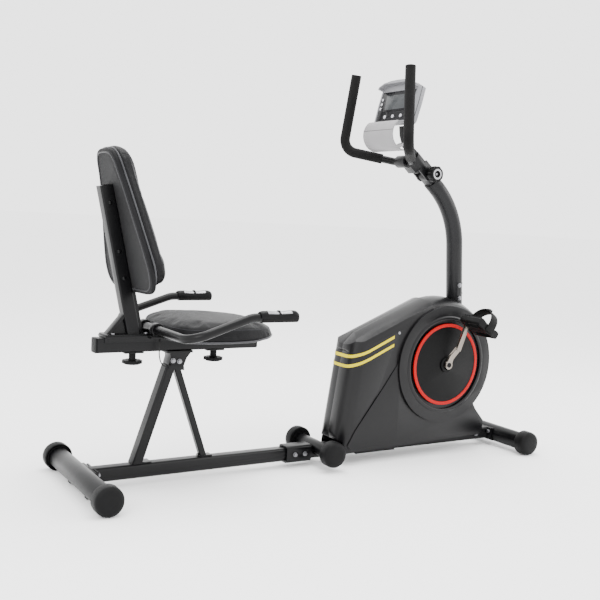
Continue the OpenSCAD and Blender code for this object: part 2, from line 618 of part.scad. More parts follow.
module console_tray() {
  color("#c4c5c7") difference() {
    union() {
      difference() {
        ycyl(trc[0],trc[2],52,-79,79);
        ycyl(trc[0],trc[2],48.5,-80,80);
        xz(-81,81) polygon([[trc[0],trc[2]],[trc[0]-70,trc[2]+96],[trc[0]+90,trc[2]+96],[trc[0]+90,trc[2]-90],
          [trc[0]+14,trc[2]-90]]);
      }
      xz(-12,12) polygon([[trc[0]-6,trc[2]-51],[trc[0]+8,trc[2]-51],[trc[0]+54,trc[2]-28],[trc[0]+50,trc[2]-20],
        [trc[0]-4,trc[2]-46]]);
    }
    xz(-13.3,13.3) polygon([[hx-66,hinge_z+60],[hx-96.4,hinge_z+82],[hx-112.4,hinge_z+120],[hx-116.4,hinge_z+150],
      [hx-40,hinge_z+150],[hx-40,hinge_z+50]]);
  }
}

// ---------- crank ----------
disc_y = 76; disc_t = 4;
module crank() { translate([cx,0,cz]) rotate([0,crank_rest,0]) children(); }
arm_y = 92;
module crank_axle() {
  color("#a5a7aa") crank() rotate([90,0,0]) union() {
    cylinder(r=9,h=2*(arm_y+4),center=true);
    translate([0,0,-33.9]) cylinder(r=13,h=1.6);
  }
}
module crank_arm(s) {
  // arm on side s of the axle, kinked outward
  y0 = arm_y-4.5; y1 = 108;
  difference() {
    union() {
      ycyl(0,0,15,s>0?y0-2:-y0-9,s>0?y0+9:-y0+2);
      xz(s>0?y0:-y0-9,s>0?y0+9:-y0) polygon([[-11,0],[11,0],[9,30],[-9,30]]);
      translate([0,s*(y0+4.5),26]) rotate([s*-27,0,0]) translate([-9,-5,-4]) cube([18,10,46]);
      xz(s>0?y1-1:-y1-9,s>0?y1+9:-y1+1) polygon([[-9,56],[9,56],[8,crank_len],[-8,crank_len]]);
      ycyl(0,crank_len,13,s>0?y1-2:-y1-10,s>0?y1+10:-y1+2);
    }
    ycyl(0,0,9,-200,200);
    ycyl(0,crank_len,7,-200,200);
  }
}
module crank_arms() {
  color("#a9a59c") crank() { crank_arm(-1); rotate([0,180,0]) crank_arm(1); }
}
module crank_discs() {
  color("#161617") for (s=[-1,1]) crank() difference() {
    union() {
      ycyl(0,0,disc_r-11,s>0?disc_y:-disc_y-disc_t,s>0?disc_y+disc_t:-disc_y);
      ycyl(0,0,26,s>0?disc_y+1:-disc_y-disc_t-4,s>0?disc_y+disc_t+4:-disc_y-1);
    }
    ycyl(0,0,9,-100,100);
    ycyl(0,0,15.4,s>0?arm_y-7:-arm_y-7,s>0?arm_y+7:-arm_y+7);
  }
}
module crank_rings() {
  color("#d3232c") for (s=[-1,1]) crank() difference() {
    ycyl(0,0,disc_r,s>0?disc_y:-disc_y-disc_t-1,s>0?disc_y+disc_t+1:-disc_y);
    ycyl(0,0,disc_r-11,-100,100);
  }
}
module crank_pulley() {
  color("#2c2c2e") crank() difference() {
    union() {
      ycyl(0,0,pul_r,belt_y0,belt_y1); ycyl(0,0,pul_r+4,belt_y0-1.5,belt_y0+0.7);
      ycyl(0,0,pul_r+4,belt_y1-0.7,belt_y1+1.5); ycyl(0,0,22,34,belt_y1+6);
    }
    ycyl(0,0,9,0,100);
    for (a=[0:60:300]) ycyl(62*cos(a),62*sin(a),20,0,100);
  }
}
pd_in = 124; pd_w = 92;
module pedal_spindles() {
  color("#b4b6b9") crank() for (s=[-1,1]) translate([0,0,-s*crank_len]) {
    ycyl(0,0,7,s>0?106:-118,s>0?118:-106);
    ycyl(0,0,8.5,s>0?118.1:-121,s>0?121:-118.1);
    ycyl(0,0,6,s>0?117:-206,s>0?206:-117);
  }
}
ptilt = 34;
module at_pedal(s) {
  translate([cx-s*sin(crank_rest)*crank_len,0,cz-s*cos(crank_rest)*crank_len]) rotate([0,ptilt,0]) children();
}
module pedal(s) {
  y0 = s>0 ? pd_in+1.5 : -pd_in-1.5-pd_w; y1 = y0+pd_w;
  difference() {
    union() {
      xz(y0,y1) polygon([[-50,-9],[-44,-14],[44,-14],[50,-9],[50,5],[46,11],[36,12],[20,9],[-20,9],[-36,12],[-46,11],[-50,5]]);
      ycyl(0,0,13,y0,y1);
    }
    // windows through the cage
    for (x=[-1,1]) translate([x>0?17:-39,y0+10,-20]) cube([22,pd_w-20,40]);
    ycyl(0,0,6+run_fit,s>0?0:-pd_in-87.5,s>0?pd_in+87.5:0);
  }
}
module pedal_right() { color("#1d1d1f") at_pedal(-1) pedal(-1); }
module pedal_left() { color("#1d1d1f") at_pedal(1) pedal(1); }
module strap(s) {
  // foot strap arched over the pedal
  ym = s*(pd_in+1.5+pd_w/2); r = pd_w/2+4;
  difference() {
    translate([-13,ym,0]) rotate([90,0,90]) linear_extrude(34) union() {
      intersection() {
        difference() { translate([0,14]) circle(r=r,$fn=96); translate([0,14]) circle(r=r-3.4,$fn=96); }
        translate([-r-1,13.9]) square([2*r+2,r+2]);
      }
      for (k=[-1,1]) translate([k>0?r-3.4:-r,-12]) square([3.4,26.1]);
    }
    ycyl(0,0,6.8,s>0?pd_in-10:-pd_in-10,s>0?pd_in+10:-pd_in+10);
  }
  translate([-2,ym-9,14+r-1]) cube([12,18,7.6]);
}
module strap_right() { color("#2a2a2c") at_pedal(-1) strap(-1); }
module strap_left() { color("#2a2a2c") at_pedal(1) strap(1); }

// ---------- flywheel and brake ----------
module flywheel() {
  color("#6c6d70") translate([fx,0,fz]) difference() {
    union() {
      rotate([90,0,0]) translate([0,0,-12]) rotate_extrude($fn=128) polygon([[0,0],[24,0],[24,6],[fly_r-26,6],[fly_r-26,0],
        [fly_r,0],[fly_r,24],[fly_r-26,24],[fly_r-26,18],[24,18],[24,24],[0,24]]);
      rotate([90,0,0]) cylinder(r=8,h=64,center=true);
      ycyl(0,0,8,30,belt_y1+2);
      ycyl(0,0,hub_r,belt_y0,belt_y1); ycyl(0,0,hub_r+3.6,belt_y0-1.5,belt_y0+0.7);
      ycyl(0,0,hub_r+3.6,belt_y1-0.7,belt_y1+1.5);
    }
  }
}
module idler() {
  color("#8b8d90") difference() {
    ycyl(ic[0],ic[1],idl_r,belt_y0-1,belt_y1-2);
    ycyl(ic[0],ic[1],6+run_fit,0,60);
  }
}
module magnet_bracket() {
  color("#54565a") difference() {
    union() {
      difference() {
        ycyl(fx,fz,fly_r+10,-16,16); ycyl(fx,fz,fly_r+5,-17,17);
        xz(-20,20) polygon([[fx,fz],[fx+160,fz+170],[fx+200,fz-200],[fx-200,fz-200],[fx-200,fz+60],[fx-60,fz+160]]);
      }
      xz(-16,16) polygon([[mgp[0]-8,mgp[1]-7],[mgp[0]+2,mgp[1]+9],[fx+46,fz+fly_r+4],[fx+52,fz+fly_r-7],
        [fx+70,fz+fly_r-14],[fx+76,fz+fly_r-10]]);
      ycyl(mgp[0],mgp[1],9,-24,24);
      ycyl(mgp[0],mgp[1],5,-38,38);
    }
    ycyl(fx,fz,fly_r+4,-30,30);
  }
}

// ---------- shroud ----------
sh_w = 70;                           // half width at the side faces
sh_r = 205; crown = 23;              // round nose and its crown
SIDE = [[69,42],[642,57],[663,66],[664,108],[625,150],[600,190],[470,330],[443,503],[391,494],[286,448],[194,412],
  [123,384],[90,372],[79,330],[56,183],[48,107]];
function side_pts(g) = grow([for (p=SIDE) [p[0]+xf-773.5,p[1]+(p[1]>300?crank_z-318:0)]],g);
slope_a = 23.1;
module sh_side(g) { xz(-sh_w-g,sh_w+g) polygon(side_pts(g)); }
// round nose, crowned across the width
module sh_nose(g) {
  translate([cx,0,cz]) rotate([90,0,0]) rotate_extrude($fn=128)
    polygon(concat([[0,0.15-sh_w-g],[sh_r-5.5+g,0.15-sh_w-g]],
      [for (a=[-60:10:60]) [sh_r+g+crown*(1-pow(abs(a)/64,2)),(sh_w-3+g)*a/60]],[[sh_r-5.5+g,sh_w-0.15+g],[0,sh_w-0.15+g]]));
}
// crowned sloping top
module sh_top(g) {
  translate([cx-379,0,cz+57]) rotate([0,-slope_a,0]) rotate([90,0,90]) linear_extrude(345)
    polygon(concat([[sh_w-0.3+g,-80],[sh_w-0.3+g,2+g]],
      [for (a=[60:-10:-60]) [(sh_w-3+g)*a/60,9+g+crown*(1-pow(abs(a)/64,2))]],[[0.3-sh_w-g,2+g],[0.3-sh_w-g,-80]]));
}
// rounded, leaning rear
module sh_rear(g) {
  translate([cx-416-g,0,100]) rotate([0,7.7,0]) translate([0,0,-120]) linear_extrude(700) union() {
    translate([52,-sh_w-g]) square([740,2*(sh_w+g)]);
    translate([0,-sh_w-g+52]) square([100,2*(sh_w+g-52)]);
    for (s=[-1,1]) translate([52,s*(sh_w+g-52)]) circle(r=52);
  }
}
// sloping rear shoulder
module sh_shoulder(g) {
  translate([cx-392,0,cz+52]) rotate([0,-44,0]) translate([-600,-100,-900]) cube([1500,200,904+g]);
}
module shroud_solid(g) {
  union() {
    intersection() { sh_side(g); sh_rear(g); }
    sh_nose(g);
    intersection() { sh_top(g); sh_rear(g); sh_shoulder(g); }
  }
}
module shroud_shell() {
  difference() {
    difference() {
      union() { shroud_solid(0); for (s=[-1,1]) ycyl(cx,cz,200,s>0?sh_w-1:-80,s>0?80:-sh_w+1); }
      shroud_solid(-2.6);
    }
    translate([cx-450,-60,20]) cube([640,120,60]);
    // recess and opening round the crank
    for (s=[-1,1]) {
      ycyl(cx,cz,156,s>0?72:-90,s>0?90:-72);
      ycyl(cx,cz,24,s>0?40:-90,s>0?90:-40);
    }
    // mast, beam and stabiliser openings
    translate([cx-460,-23,18]) cube([720,46,50]);
    screw_shanks(0.1);
  }
}
SCREWS = [[[cx-202,0,cz+112],0],[[cx-330,0,80],0],[[cx-120,0,78],0],[[cx+120,0,82],0]];
function scr_y(i) = sh_w;
module screw_shanks(g) {
  for (p=SCREWS, s=[-1,1]) ycyl(p[0][0],p[0][2],2.5+g,s>0?sh_w-12:-sh_w-1,s>0?sh_w+1:-sh_w+12);
}
module shroud_screws() {
  color("#0f0f10") for (p=SCREWS, s=[-1,1]) union() {
    ycyl(p[0][0],p[0][2],2.5,s>0?sh_w-10:-sh_w-0.5,s>0?sh_w+0.5:-sh_w+10);
    ycyl(p[0][0],p[0][2],5,s>0?sh_w:-sh_w-1.6,s>0?sh_w+1.6:-sh_w);
  }
}
// opening round the mast
module mast_hole() {
  a=[mast_x(440),0,440]; translate(a) rotate([0,-mlean,0]) rotate(35) cylinder(d=mast_d+8,h=160);
}
module shroud_right() {
  color("#232326") difference() {
    intersection() { shroud_shell(); translate([-900,-300,0]) cube([1800,299.9,900]); }
    mast_hole();
  }
}
module shroud_left() {
  color("#232326") difference() {
    intersection() { shroud_shell(); translate([-900,0.1,0]) cube([1800,299.9,900]); }
    mast_hole();
  }
}
S1 = [[244,417],[144,372],[93,355],[60,348.5],[30,347]];
S2 = [[244,390],[151,348],[84,322],[50,318.5],[20,318]];
function band(p) = let(q=[for(a=p) a+[xf-773.5,crank_z-318]]) concat([for(a=q) a+[0,4.8]],[for(i=[len(q)-1:-1:0]) q[i]-[0,4.8]]);
module stripes() {
  color("#f2e21b") intersection() {
    difference() { shroud_solid(0.8); shroud_solid(0.02); }
    union() { for (b=[S1,S2]) xz(-90,90) polygon(band(b)); }
  }
}

// ---------- pulse sensor lead ----------
module pulse_cable() {
  color("#151515") pipe([[hx0+14,-40,zc-13],[hx0+12,-44,rail_z+6],[nx-60,-40,rail_z-24],[nx-24.5,-26,rail_z-40]],14,4);
}

rear_stabiliser();
rear_feet();
lower_rail();
base_frame();
mid_stabiliser();
front_stabiliser();
front_feet();
bolts();
seat_post();
seat_rail();
rail_plugs();
mast();
bb_bearings();
shroud_right();
shroud_left();
shroud_screws();
stripes();
belt();
tension_motor();
crank_axle();
crank_arms();
crank_discs();
crank_rings();
crank_pulley();
pedal_spindles();
pedal_right();
strap_right();
pedal_left();
strap_left();
flywheel();
idler();
magnet_bracket();
wheel_right();
wheel_left();
seat_carriage();
clamp_plates();
back_upright();
back_board();
back_cushion();
seat_pan();
seat_cushion();
side_handle();
handle_grips();
sensor_housings();
sensor_plates();
seat_bolts();
rear_knob();
front_knob();
tilt_head();
handlebar();
bar_grips();
console_body();
console_tray();
console_screen();
tilt_knob();
button_a();
button_b();
button_c();
pulse_cable();
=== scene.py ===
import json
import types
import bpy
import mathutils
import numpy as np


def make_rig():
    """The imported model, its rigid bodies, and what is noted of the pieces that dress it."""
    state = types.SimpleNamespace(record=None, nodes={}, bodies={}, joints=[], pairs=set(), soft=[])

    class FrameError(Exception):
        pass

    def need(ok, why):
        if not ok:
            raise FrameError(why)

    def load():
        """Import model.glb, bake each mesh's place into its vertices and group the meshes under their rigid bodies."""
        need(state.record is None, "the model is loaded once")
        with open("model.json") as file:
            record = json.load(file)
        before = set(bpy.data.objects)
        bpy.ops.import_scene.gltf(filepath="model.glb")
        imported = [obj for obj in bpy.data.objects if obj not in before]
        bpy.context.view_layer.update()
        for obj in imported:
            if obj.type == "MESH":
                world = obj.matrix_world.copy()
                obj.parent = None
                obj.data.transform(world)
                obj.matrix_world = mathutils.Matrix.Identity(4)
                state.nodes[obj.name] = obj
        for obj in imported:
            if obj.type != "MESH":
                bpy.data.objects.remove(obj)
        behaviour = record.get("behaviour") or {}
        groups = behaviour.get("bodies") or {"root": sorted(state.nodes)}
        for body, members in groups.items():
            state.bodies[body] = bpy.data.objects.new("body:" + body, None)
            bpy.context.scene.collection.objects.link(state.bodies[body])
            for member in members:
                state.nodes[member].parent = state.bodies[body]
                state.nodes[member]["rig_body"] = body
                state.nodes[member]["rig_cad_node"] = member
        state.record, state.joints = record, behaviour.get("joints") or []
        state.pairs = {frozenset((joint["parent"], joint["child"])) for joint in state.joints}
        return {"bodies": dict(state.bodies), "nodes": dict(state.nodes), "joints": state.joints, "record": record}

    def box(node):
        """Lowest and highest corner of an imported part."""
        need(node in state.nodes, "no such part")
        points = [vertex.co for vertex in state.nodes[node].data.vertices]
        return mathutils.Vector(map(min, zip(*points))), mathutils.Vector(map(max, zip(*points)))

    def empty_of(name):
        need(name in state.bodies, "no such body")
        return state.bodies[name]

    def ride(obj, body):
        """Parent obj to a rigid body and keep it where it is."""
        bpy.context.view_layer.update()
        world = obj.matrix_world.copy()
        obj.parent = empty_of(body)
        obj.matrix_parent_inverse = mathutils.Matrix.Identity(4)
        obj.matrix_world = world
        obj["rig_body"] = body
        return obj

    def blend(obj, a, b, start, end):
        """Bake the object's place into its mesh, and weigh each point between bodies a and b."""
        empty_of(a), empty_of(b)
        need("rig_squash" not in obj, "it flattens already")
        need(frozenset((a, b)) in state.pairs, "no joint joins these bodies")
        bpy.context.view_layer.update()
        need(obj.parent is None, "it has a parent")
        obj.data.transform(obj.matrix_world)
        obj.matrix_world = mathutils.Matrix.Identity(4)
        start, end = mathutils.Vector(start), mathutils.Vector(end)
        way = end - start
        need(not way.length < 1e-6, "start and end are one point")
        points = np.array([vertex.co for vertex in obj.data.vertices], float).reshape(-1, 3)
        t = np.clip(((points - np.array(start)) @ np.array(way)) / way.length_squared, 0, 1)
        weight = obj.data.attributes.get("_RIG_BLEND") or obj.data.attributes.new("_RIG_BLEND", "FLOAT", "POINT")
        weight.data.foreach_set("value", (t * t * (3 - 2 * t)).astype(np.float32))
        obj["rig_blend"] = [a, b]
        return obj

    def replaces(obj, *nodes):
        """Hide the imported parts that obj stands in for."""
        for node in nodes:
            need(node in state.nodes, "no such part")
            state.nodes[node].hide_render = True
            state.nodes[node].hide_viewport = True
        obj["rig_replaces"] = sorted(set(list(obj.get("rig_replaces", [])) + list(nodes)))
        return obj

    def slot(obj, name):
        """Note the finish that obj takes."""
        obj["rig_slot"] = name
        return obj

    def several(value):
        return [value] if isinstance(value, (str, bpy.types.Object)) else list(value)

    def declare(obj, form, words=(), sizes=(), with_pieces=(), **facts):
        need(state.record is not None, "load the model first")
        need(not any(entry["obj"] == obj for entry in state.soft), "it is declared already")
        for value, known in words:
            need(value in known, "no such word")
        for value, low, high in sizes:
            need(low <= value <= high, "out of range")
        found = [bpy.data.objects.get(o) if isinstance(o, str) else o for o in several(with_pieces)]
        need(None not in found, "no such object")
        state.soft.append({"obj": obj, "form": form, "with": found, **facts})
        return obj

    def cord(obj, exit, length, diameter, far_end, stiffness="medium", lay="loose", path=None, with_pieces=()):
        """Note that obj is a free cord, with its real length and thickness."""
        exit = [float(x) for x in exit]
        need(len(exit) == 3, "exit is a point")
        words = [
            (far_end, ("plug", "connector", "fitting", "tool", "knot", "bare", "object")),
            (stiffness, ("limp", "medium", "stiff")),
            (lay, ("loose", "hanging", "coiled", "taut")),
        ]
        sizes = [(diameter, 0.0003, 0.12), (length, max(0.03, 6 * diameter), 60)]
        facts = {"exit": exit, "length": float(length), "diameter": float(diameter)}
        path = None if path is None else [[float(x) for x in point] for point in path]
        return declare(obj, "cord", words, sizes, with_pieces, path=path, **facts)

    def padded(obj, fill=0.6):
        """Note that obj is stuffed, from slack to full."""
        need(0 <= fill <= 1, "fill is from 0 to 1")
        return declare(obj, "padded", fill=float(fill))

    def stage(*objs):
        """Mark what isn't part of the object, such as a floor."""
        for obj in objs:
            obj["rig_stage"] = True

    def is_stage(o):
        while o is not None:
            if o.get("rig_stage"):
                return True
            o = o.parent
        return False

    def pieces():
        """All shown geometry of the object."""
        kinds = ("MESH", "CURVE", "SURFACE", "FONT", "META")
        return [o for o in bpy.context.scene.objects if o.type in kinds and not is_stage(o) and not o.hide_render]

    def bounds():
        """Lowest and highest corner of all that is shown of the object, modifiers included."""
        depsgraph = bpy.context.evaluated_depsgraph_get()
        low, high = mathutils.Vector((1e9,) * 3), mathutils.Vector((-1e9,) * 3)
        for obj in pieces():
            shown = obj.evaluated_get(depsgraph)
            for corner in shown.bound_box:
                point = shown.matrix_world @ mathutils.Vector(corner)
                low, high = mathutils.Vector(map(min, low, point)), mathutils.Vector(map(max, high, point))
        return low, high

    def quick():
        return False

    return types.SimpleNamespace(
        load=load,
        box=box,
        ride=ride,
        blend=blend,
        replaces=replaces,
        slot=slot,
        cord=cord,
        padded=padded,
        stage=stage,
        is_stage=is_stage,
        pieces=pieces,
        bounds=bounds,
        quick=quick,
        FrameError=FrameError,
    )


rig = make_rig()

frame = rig.load()

import json
import math

import bmesh
import bpy
from mathutils import Matrix, Vector
from mathutils.bvhtree import BVHTree

cad_box = [list(v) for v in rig.bounds()]
NODES = frame["nodes"]
scene = bpy.context.scene


# ---------------------------------------------------------------- places
def mid(node):
    lo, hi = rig.box(node)
    return (lo + hi) / 2


X0 = mid("rear_stabiliser").x        # axis of the rear stabiliser
RAIL_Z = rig.box("seat_rail")[0].z    # underside of the seat rail
SEAT_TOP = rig.box("seat_rail")[1].z
HX, HZ = mid("tilt_knob").x, mid("tilt_knob").z     # tilt hinge
CX, CZ = mid("crank_axle").x, mid("crank_axle").z   # crank axle


def W(x, y, z):
    """A point from millimetres: x ahead of the rear stabiliser axis, y left, z up."""
    return Vector((X0 + x / 1000, y / 1000, z / 1000))


# ---------------------------------------------------------------- camera
cam_data = bpy.data.cameras.new("Camera")
cam = bpy.data.objects.new("Camera", cam_data)
scene.collection.objects.link(cam)
cam_data.lens, cam_data.sensor_width = 53.158, 36.0
cam.matrix_world = Matrix((
    (0.85110291, 0.00468641, -0.52497797, X0 + 0.7735 - 1.5479),
    (-0.52225737, 0.10961542, -0.84571372, -2.356),
    (0.05358231, 0.99396303, 0.09574151, 0.8),
    (0, 0, 0, 1)))
scene.camera = cam


# ---------------------------------------------------------------- materials
def material(name, color, rough=0.5, metal=0.0, vary=0.15, vary_scale=6, grain=None,
             rough_vary=0.08, sheen=0.0, spec=0.10):
    """A surface with patchy colour and roughness; grain lists bump layers as (kind, scale, strength)."""
    m = bpy.data.materials.new(name)
    m.use_nodes = True
    nt = m.node_tree
    N, L = nt.nodes, nt.links
    b = N["Principled BSDF"]
    b.inputs["Metallic"].default_value = metal
    b.inputs["Specular IOR Level"].default_value = spec
    b.inputs["Sheen Weight"].default_value = sheen
    b.inputs["Sheen Roughness"].default_value = 0.45
    tc = N.new("ShaderNodeTexCoord")

    def noise(scale, detail=3.0, rough=0.5):
        n = N.new("ShaderNodeTexNoise")
        n.inputs["Scale"].default_value = scale
        n.inputs["Detail"].default_value = detail
        n.inputs["Roughness"].default_value = rough
        L.new(tc.outputs["Object"], n.inputs["Vector"])
        return n.outputs["Fac"]

    def ramp(src, a, c, p0=0.3, p1=0.7):
        r = N.new("ShaderNodeValToRGB")
        r.color_ramp.elements[0].position, r.color_ramp.elements[1].position = p0, p1
        r.color_ramp.elements[0].color = (*a, 1)
        r.color_ramp.elements[1].color = (*c, 1)
        L.new(src, r.inputs["Fac"])
        return r.outputs["Color"]

    def mapped(src, lo, hi):
        r = N.new("ShaderNodeMapRange")
        r.inputs["To Min"].default_value, r.inputs["To Max"].default_value = lo, hi
        L.new(src, r.inputs["Value"])
        return r.outputs["Result"]

    lo = [max(c * (1 - vary), 0) for c in color]
    hi = [min(c * (1 + vary), 1) for c in color]
    base = ramp(noise(vary_scale), lo, hi)
    L.new(base, b.inputs["Base Color"])
    L.new(mapped(noise(vary_scale * 5, 5, 0.6), rough - rough_vary, rough + rough_vary),
          b.inputs["Roughness"])
    normal = None
    for kind, scale, strength in grain or []:
        if kind == "noise":
            h = noise(scale, 2.0)
        elif kind == "leather":
            v = N.new("ShaderNodeTexVoronoi")
            v.feature = "DISTANCE_TO_EDGE"
            v.inputs["Scale"].default_value = scale
            L.new(tc.outputs["Object"], v.inputs["Vector"])
            h = mapped(v.outputs["Distance"], 0, 2.5)
        elif kind == "foam":
            v = N.new("ShaderNodeTexVoronoi")
            v.inputs["Scale"].default_value = scale
            L.new(tc.outputs["Object"], v.inputs["Vector"])
            h = v.outputs["Distance"]
        elif kind == "weave":
            waves = []
            for axis in ("Y", "Z"):
                w = N.new("ShaderNodeTexWave")
                w.bands_direction = axis
                w.inputs["Scale"].default_value = scale
                w.inputs["Distortion"].default_value = 0.4
                w.inputs["Detail"].default_value = 1
                L.new(tc.outputs["Object"], w.inputs["Vector"])
                waves.append(w.outputs["Fac"])
            mul = N.new("ShaderNodeMath")
            mul.operation = "MULTIPLY"
            L.new(waves[0], mul.inputs[0])
            L.new(waves[1], mul.inputs[1])
            h = mul.outputs[0]
        elif kind == "brush":
            mp = N.new("ShaderNodeMapping")
            mp.inputs["Scale"].default_value = (1, 1, 30)
            L.new(tc.outputs["Object"], mp.inputs["Vector"])
            n = N.new("ShaderNodeTexNoise")
            n.inputs["Scale"].default_value = scale
            L.new(mp.outputs["Vector"], n.inputs["Vector"])
            h = n.outputs["Fac"]
        bump = N.new("ShaderNodeBump")
        bump.inputs["Strength"].default_value = strength
        bump.inputs["Distance"].default_value = 0.001
        L.new(h, bump.inputs["Height"])
        if normal is not None:
            L.new(normal, bump.inputs["Normal"])
        normal = bump.outputs["Normal"]
    if normal is not None:
        L.new(normal, b.inputs["Normal"])
    return m


def surface(*values, **more):
    return values, more


# colour, roughness, metal, variation and its scale, grain
SURFACES = {
    "black_steel": surface((0.0016, 0.0016, 0.0019), 0.33, 0.0, 0.2, 5,
                           [("noise", 700, 0.12), ("noise", 60, 0.05)], spec=0.16),
    "mast_black": surface((0.0040, 0.0040, 0.0046), 0.36, 0.0, 0.2, 5,
                          [("noise", 900, 0.12)], spec=0.20),
    "cap_black": surface((0.0026, 0.0026, 0.0028), 0.50, 0.0, 0.2, 8, [("noise", 1600, 0.35)]),
    "pad_rubber": surface((0.0026, 0.0026, 0.0026), 0.60, 0.0, 0.2, 8, [("noise", 1200, 0.4)]),
    "zinc": surface((0.20, 0.20, 0.21), 0.38, 1.0, 0.12, 40, [("noise", 900, 0.1)]),
    "shroud_black": surface((0.0018, 0.0017, 0.0021), 0.30, 0.0, 0.12, 4,
                            [("noise", 1400, 0.18), ("noise", 30, 0.02)], rough_vary=0.04, spec=0.22),
    "stripe_yellow": surface((0.50, 0.41, 0.0015), 0.42, 0.0, 0.05, 12, [("noise", 1400, 0.1)]),
    "ring_red": surface((0.30, 0.0035, 0.004), 0.42, 0.0, 0.06, 12, [("noise", 1200, 0.08)]),
    "disc_dark": surface((0.0014, 0.0014, 0.0015), 0.42, 0.0, 0.15, 6, [("noise", 1400, 0.2)]),
    "crank_silver": surface((0.22, 0.195, 0.17), 0.34, 1.0, 0.1, 20, [("brush", 60, 0.1)]),
    "iron": surface((0.15, 0.15, 0.155), 0.5, 1.0, 0.2, 20, [("noise", 300, 0.3)]),
    "belt_rubber": surface((0.012, 0.012, 0.012), 0.6, 0.0, 0.2, 20, [("noise", 800, 0.3)]),
    "inner_plastic": surface((0.0034, 0.0034, 0.0036), 0.5, 0.0, 0.2, 10, [("noise", 1200, 0.3)]),
    "bearing_steel": surface((0.3, 0.3, 0.31), 0.3, 1.0, 0.1, 30, [("noise", 600, 0.1)]),
    "seat_fabric": surface((0.0036, 0.0036, 0.0041), 0.46, 0.0, 0.22, 7,
                           [("leather", 420, 0.35), ("noise", 120, 0.12)], sheen=0.0),
    "back_skin": surface((0.0050, 0.0050, 0.0056), 0.60, 0.0, 0.2, 10,
                         [("weave", 260, 0.35), ("noise", 600, 0.2)], sheen=0.03),
    "grip_foam": surface((0.0042, 0.0040, 0.0040), 0.78, 0.0, 0.2, 20,
                         [("foam", 900, 0.5), ("noise", 300, 0.3)], sheen=0.02),
    "sensor_black": surface((0.0024, 0.0024, 0.0027), 0.35, 0.0, 0.1, 20, [("noise", 1200, 0.1)]),
    "sensor_plate": surface((0.30, 0.30, 0.31), 0.34, 0.9, 0.06, 30, [("brush", 80, 0.08)]),
    "console_silver": surface((0.19, 0.19, 0.20), 0.40, 0.25, 0.05, 14, [("noise", 1500, 0.12)]),
    "console_face": surface((0.0055, 0.0055, 0.0065), 0.28, 0.0, 0.1, 14, [("noise", 1300, 0.06)]),
    "button_silver": surface((0.42, 0.42, 0.44), 0.34, 0.3, 0.06, 30, [("noise", 1200, 0.1)]),
    "tray_silver": surface((0.235, 0.23, 0.235), 0.42, 0.2, 0.05, 14, [("noise", 1500, 0.12)]),
    "lead_black": surface((0.014, 0.014, 0.014), 0.5, 0.0, 0.1, 30, [("noise", 900, 0.1)]),
    "piping": surface((0.040, 0.040, 0.043), 0.24, 0.0, 0.1, 30, [("noise", 700, 0.1)]),
    "shell_rim": surface((0.03, 0.03, 0.032), 0.34, 0.0, 0.1, 30, [("noise", 700, 0.1)]),
    "stitch": surface((0.016, 0.016, 0.018), 0.5, 0.0, 0.1, 30, [("noise", 900, 0.2)]),
    "lcd": surface((0.045, 0.048, 0.050), 0.18, 0.0, 0.04, 20, [("noise", 400, 0.02)]),
    "ink": surface((0.035, 0.037, 0.037), 0.3, 0.0, 0.05, 20, [("noise", 400, 0.02)]),
    "floor": surface((0.95, 0.95, 0.95), 0.9, 0.0, 0.004, 2, [("noise", 40, 0.02)],
                     rough_vary=0.02, spec=0.0),
}
M = {name: material(name, *values, **more) for name, (values, more) in SURFACES.items()}
for s in frame["record"]["subparts"]:
    o = NODES[s["node"]]
    o.data.materials.clear()
    o.data.materials.append(M[s["material_slot"]])


# ---------------------------------------------------------------- mesh helpers
def link(name, me, mat, body=None, nodes=(), smooth_angle=38, slot=None):
    o = bpy.data.objects.new(name, me)
    scene.collection.objects.link(o)
    if mat:
        me.materials.clear()
        me.materials.append(M[mat])
    shade(me, smooth_angle)
    if body:
        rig.ride(o, body)
    if nodes:
        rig.replaces(o, *nodes)
    if slot or mat in {m["slot"] for m in frame["record"]["materials"]}:
        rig.slot(o, slot or mat)
    return o


def drop_normals(me):
    if "custom_normal" in me.attributes:
        me.attributes.remove(me.attributes["custom_normal"])


def shade(me, angle):
    drop_normals(me)
    bm = bmesh.new()
    bm.from_mesh(me)
    bmesh.ops.recalc_face_normals(bm, faces=bm.faces)
    for f in bm.faces:
        f.smooth = True
    for e in bm.edges:
        e.smooth = not (len(e.link_faces) == 2 and e.calc_face_angle(0) > math.radians(angle))
    bm.to_mesh(me)
    bm.free()


def mesh(name, verts, faces, mat, body, nodes=(), angle=38, slot=None):
    me = bpy.data.meshes.new(name)
    me.from_pydata([tuple(v) for v in verts], [], faces)
    me.update()
    return link(name, me, mat, body, nodes, angle, slot)


def loft_data(rings, close=True, cap=(True, True)):
    """Vertices and faces of a skin through rings with the same number of points."""
    n = len(rings[0])
    verts = [p for r in rings for p in r]
    faces = []
    for k in range(len(rings) - 1):
        for i in range(n if close else n - 1):
            j = (i + 1) % n
            faces.append((k * n + i, k * n + j, (k + 1) * n + j, (k + 1) * n + i))
    if cap[0]:
        faces.append(tuple(range(n - 1, -1, -1)))
    if cap[1]:
        faces.append(tuple((len(rings) - 1) * n + i for i in range(n)))
    return verts, faces


# faces of a block from its lower and upper four corners
BLOCK = [(0, 3, 2, 1), (4, 5, 6, 7), (0, 1, 5, 4), (1, 2, 6, 5), (2, 3, 7, 6), (3, 0, 4, 7)]


def join_data(parts):
    verts, faces = [], []
    for v, f in parts:
        k = len(verts)
        verts += v
        faces += [tuple(i + k for i in q) for q in f]
    return verts, faces


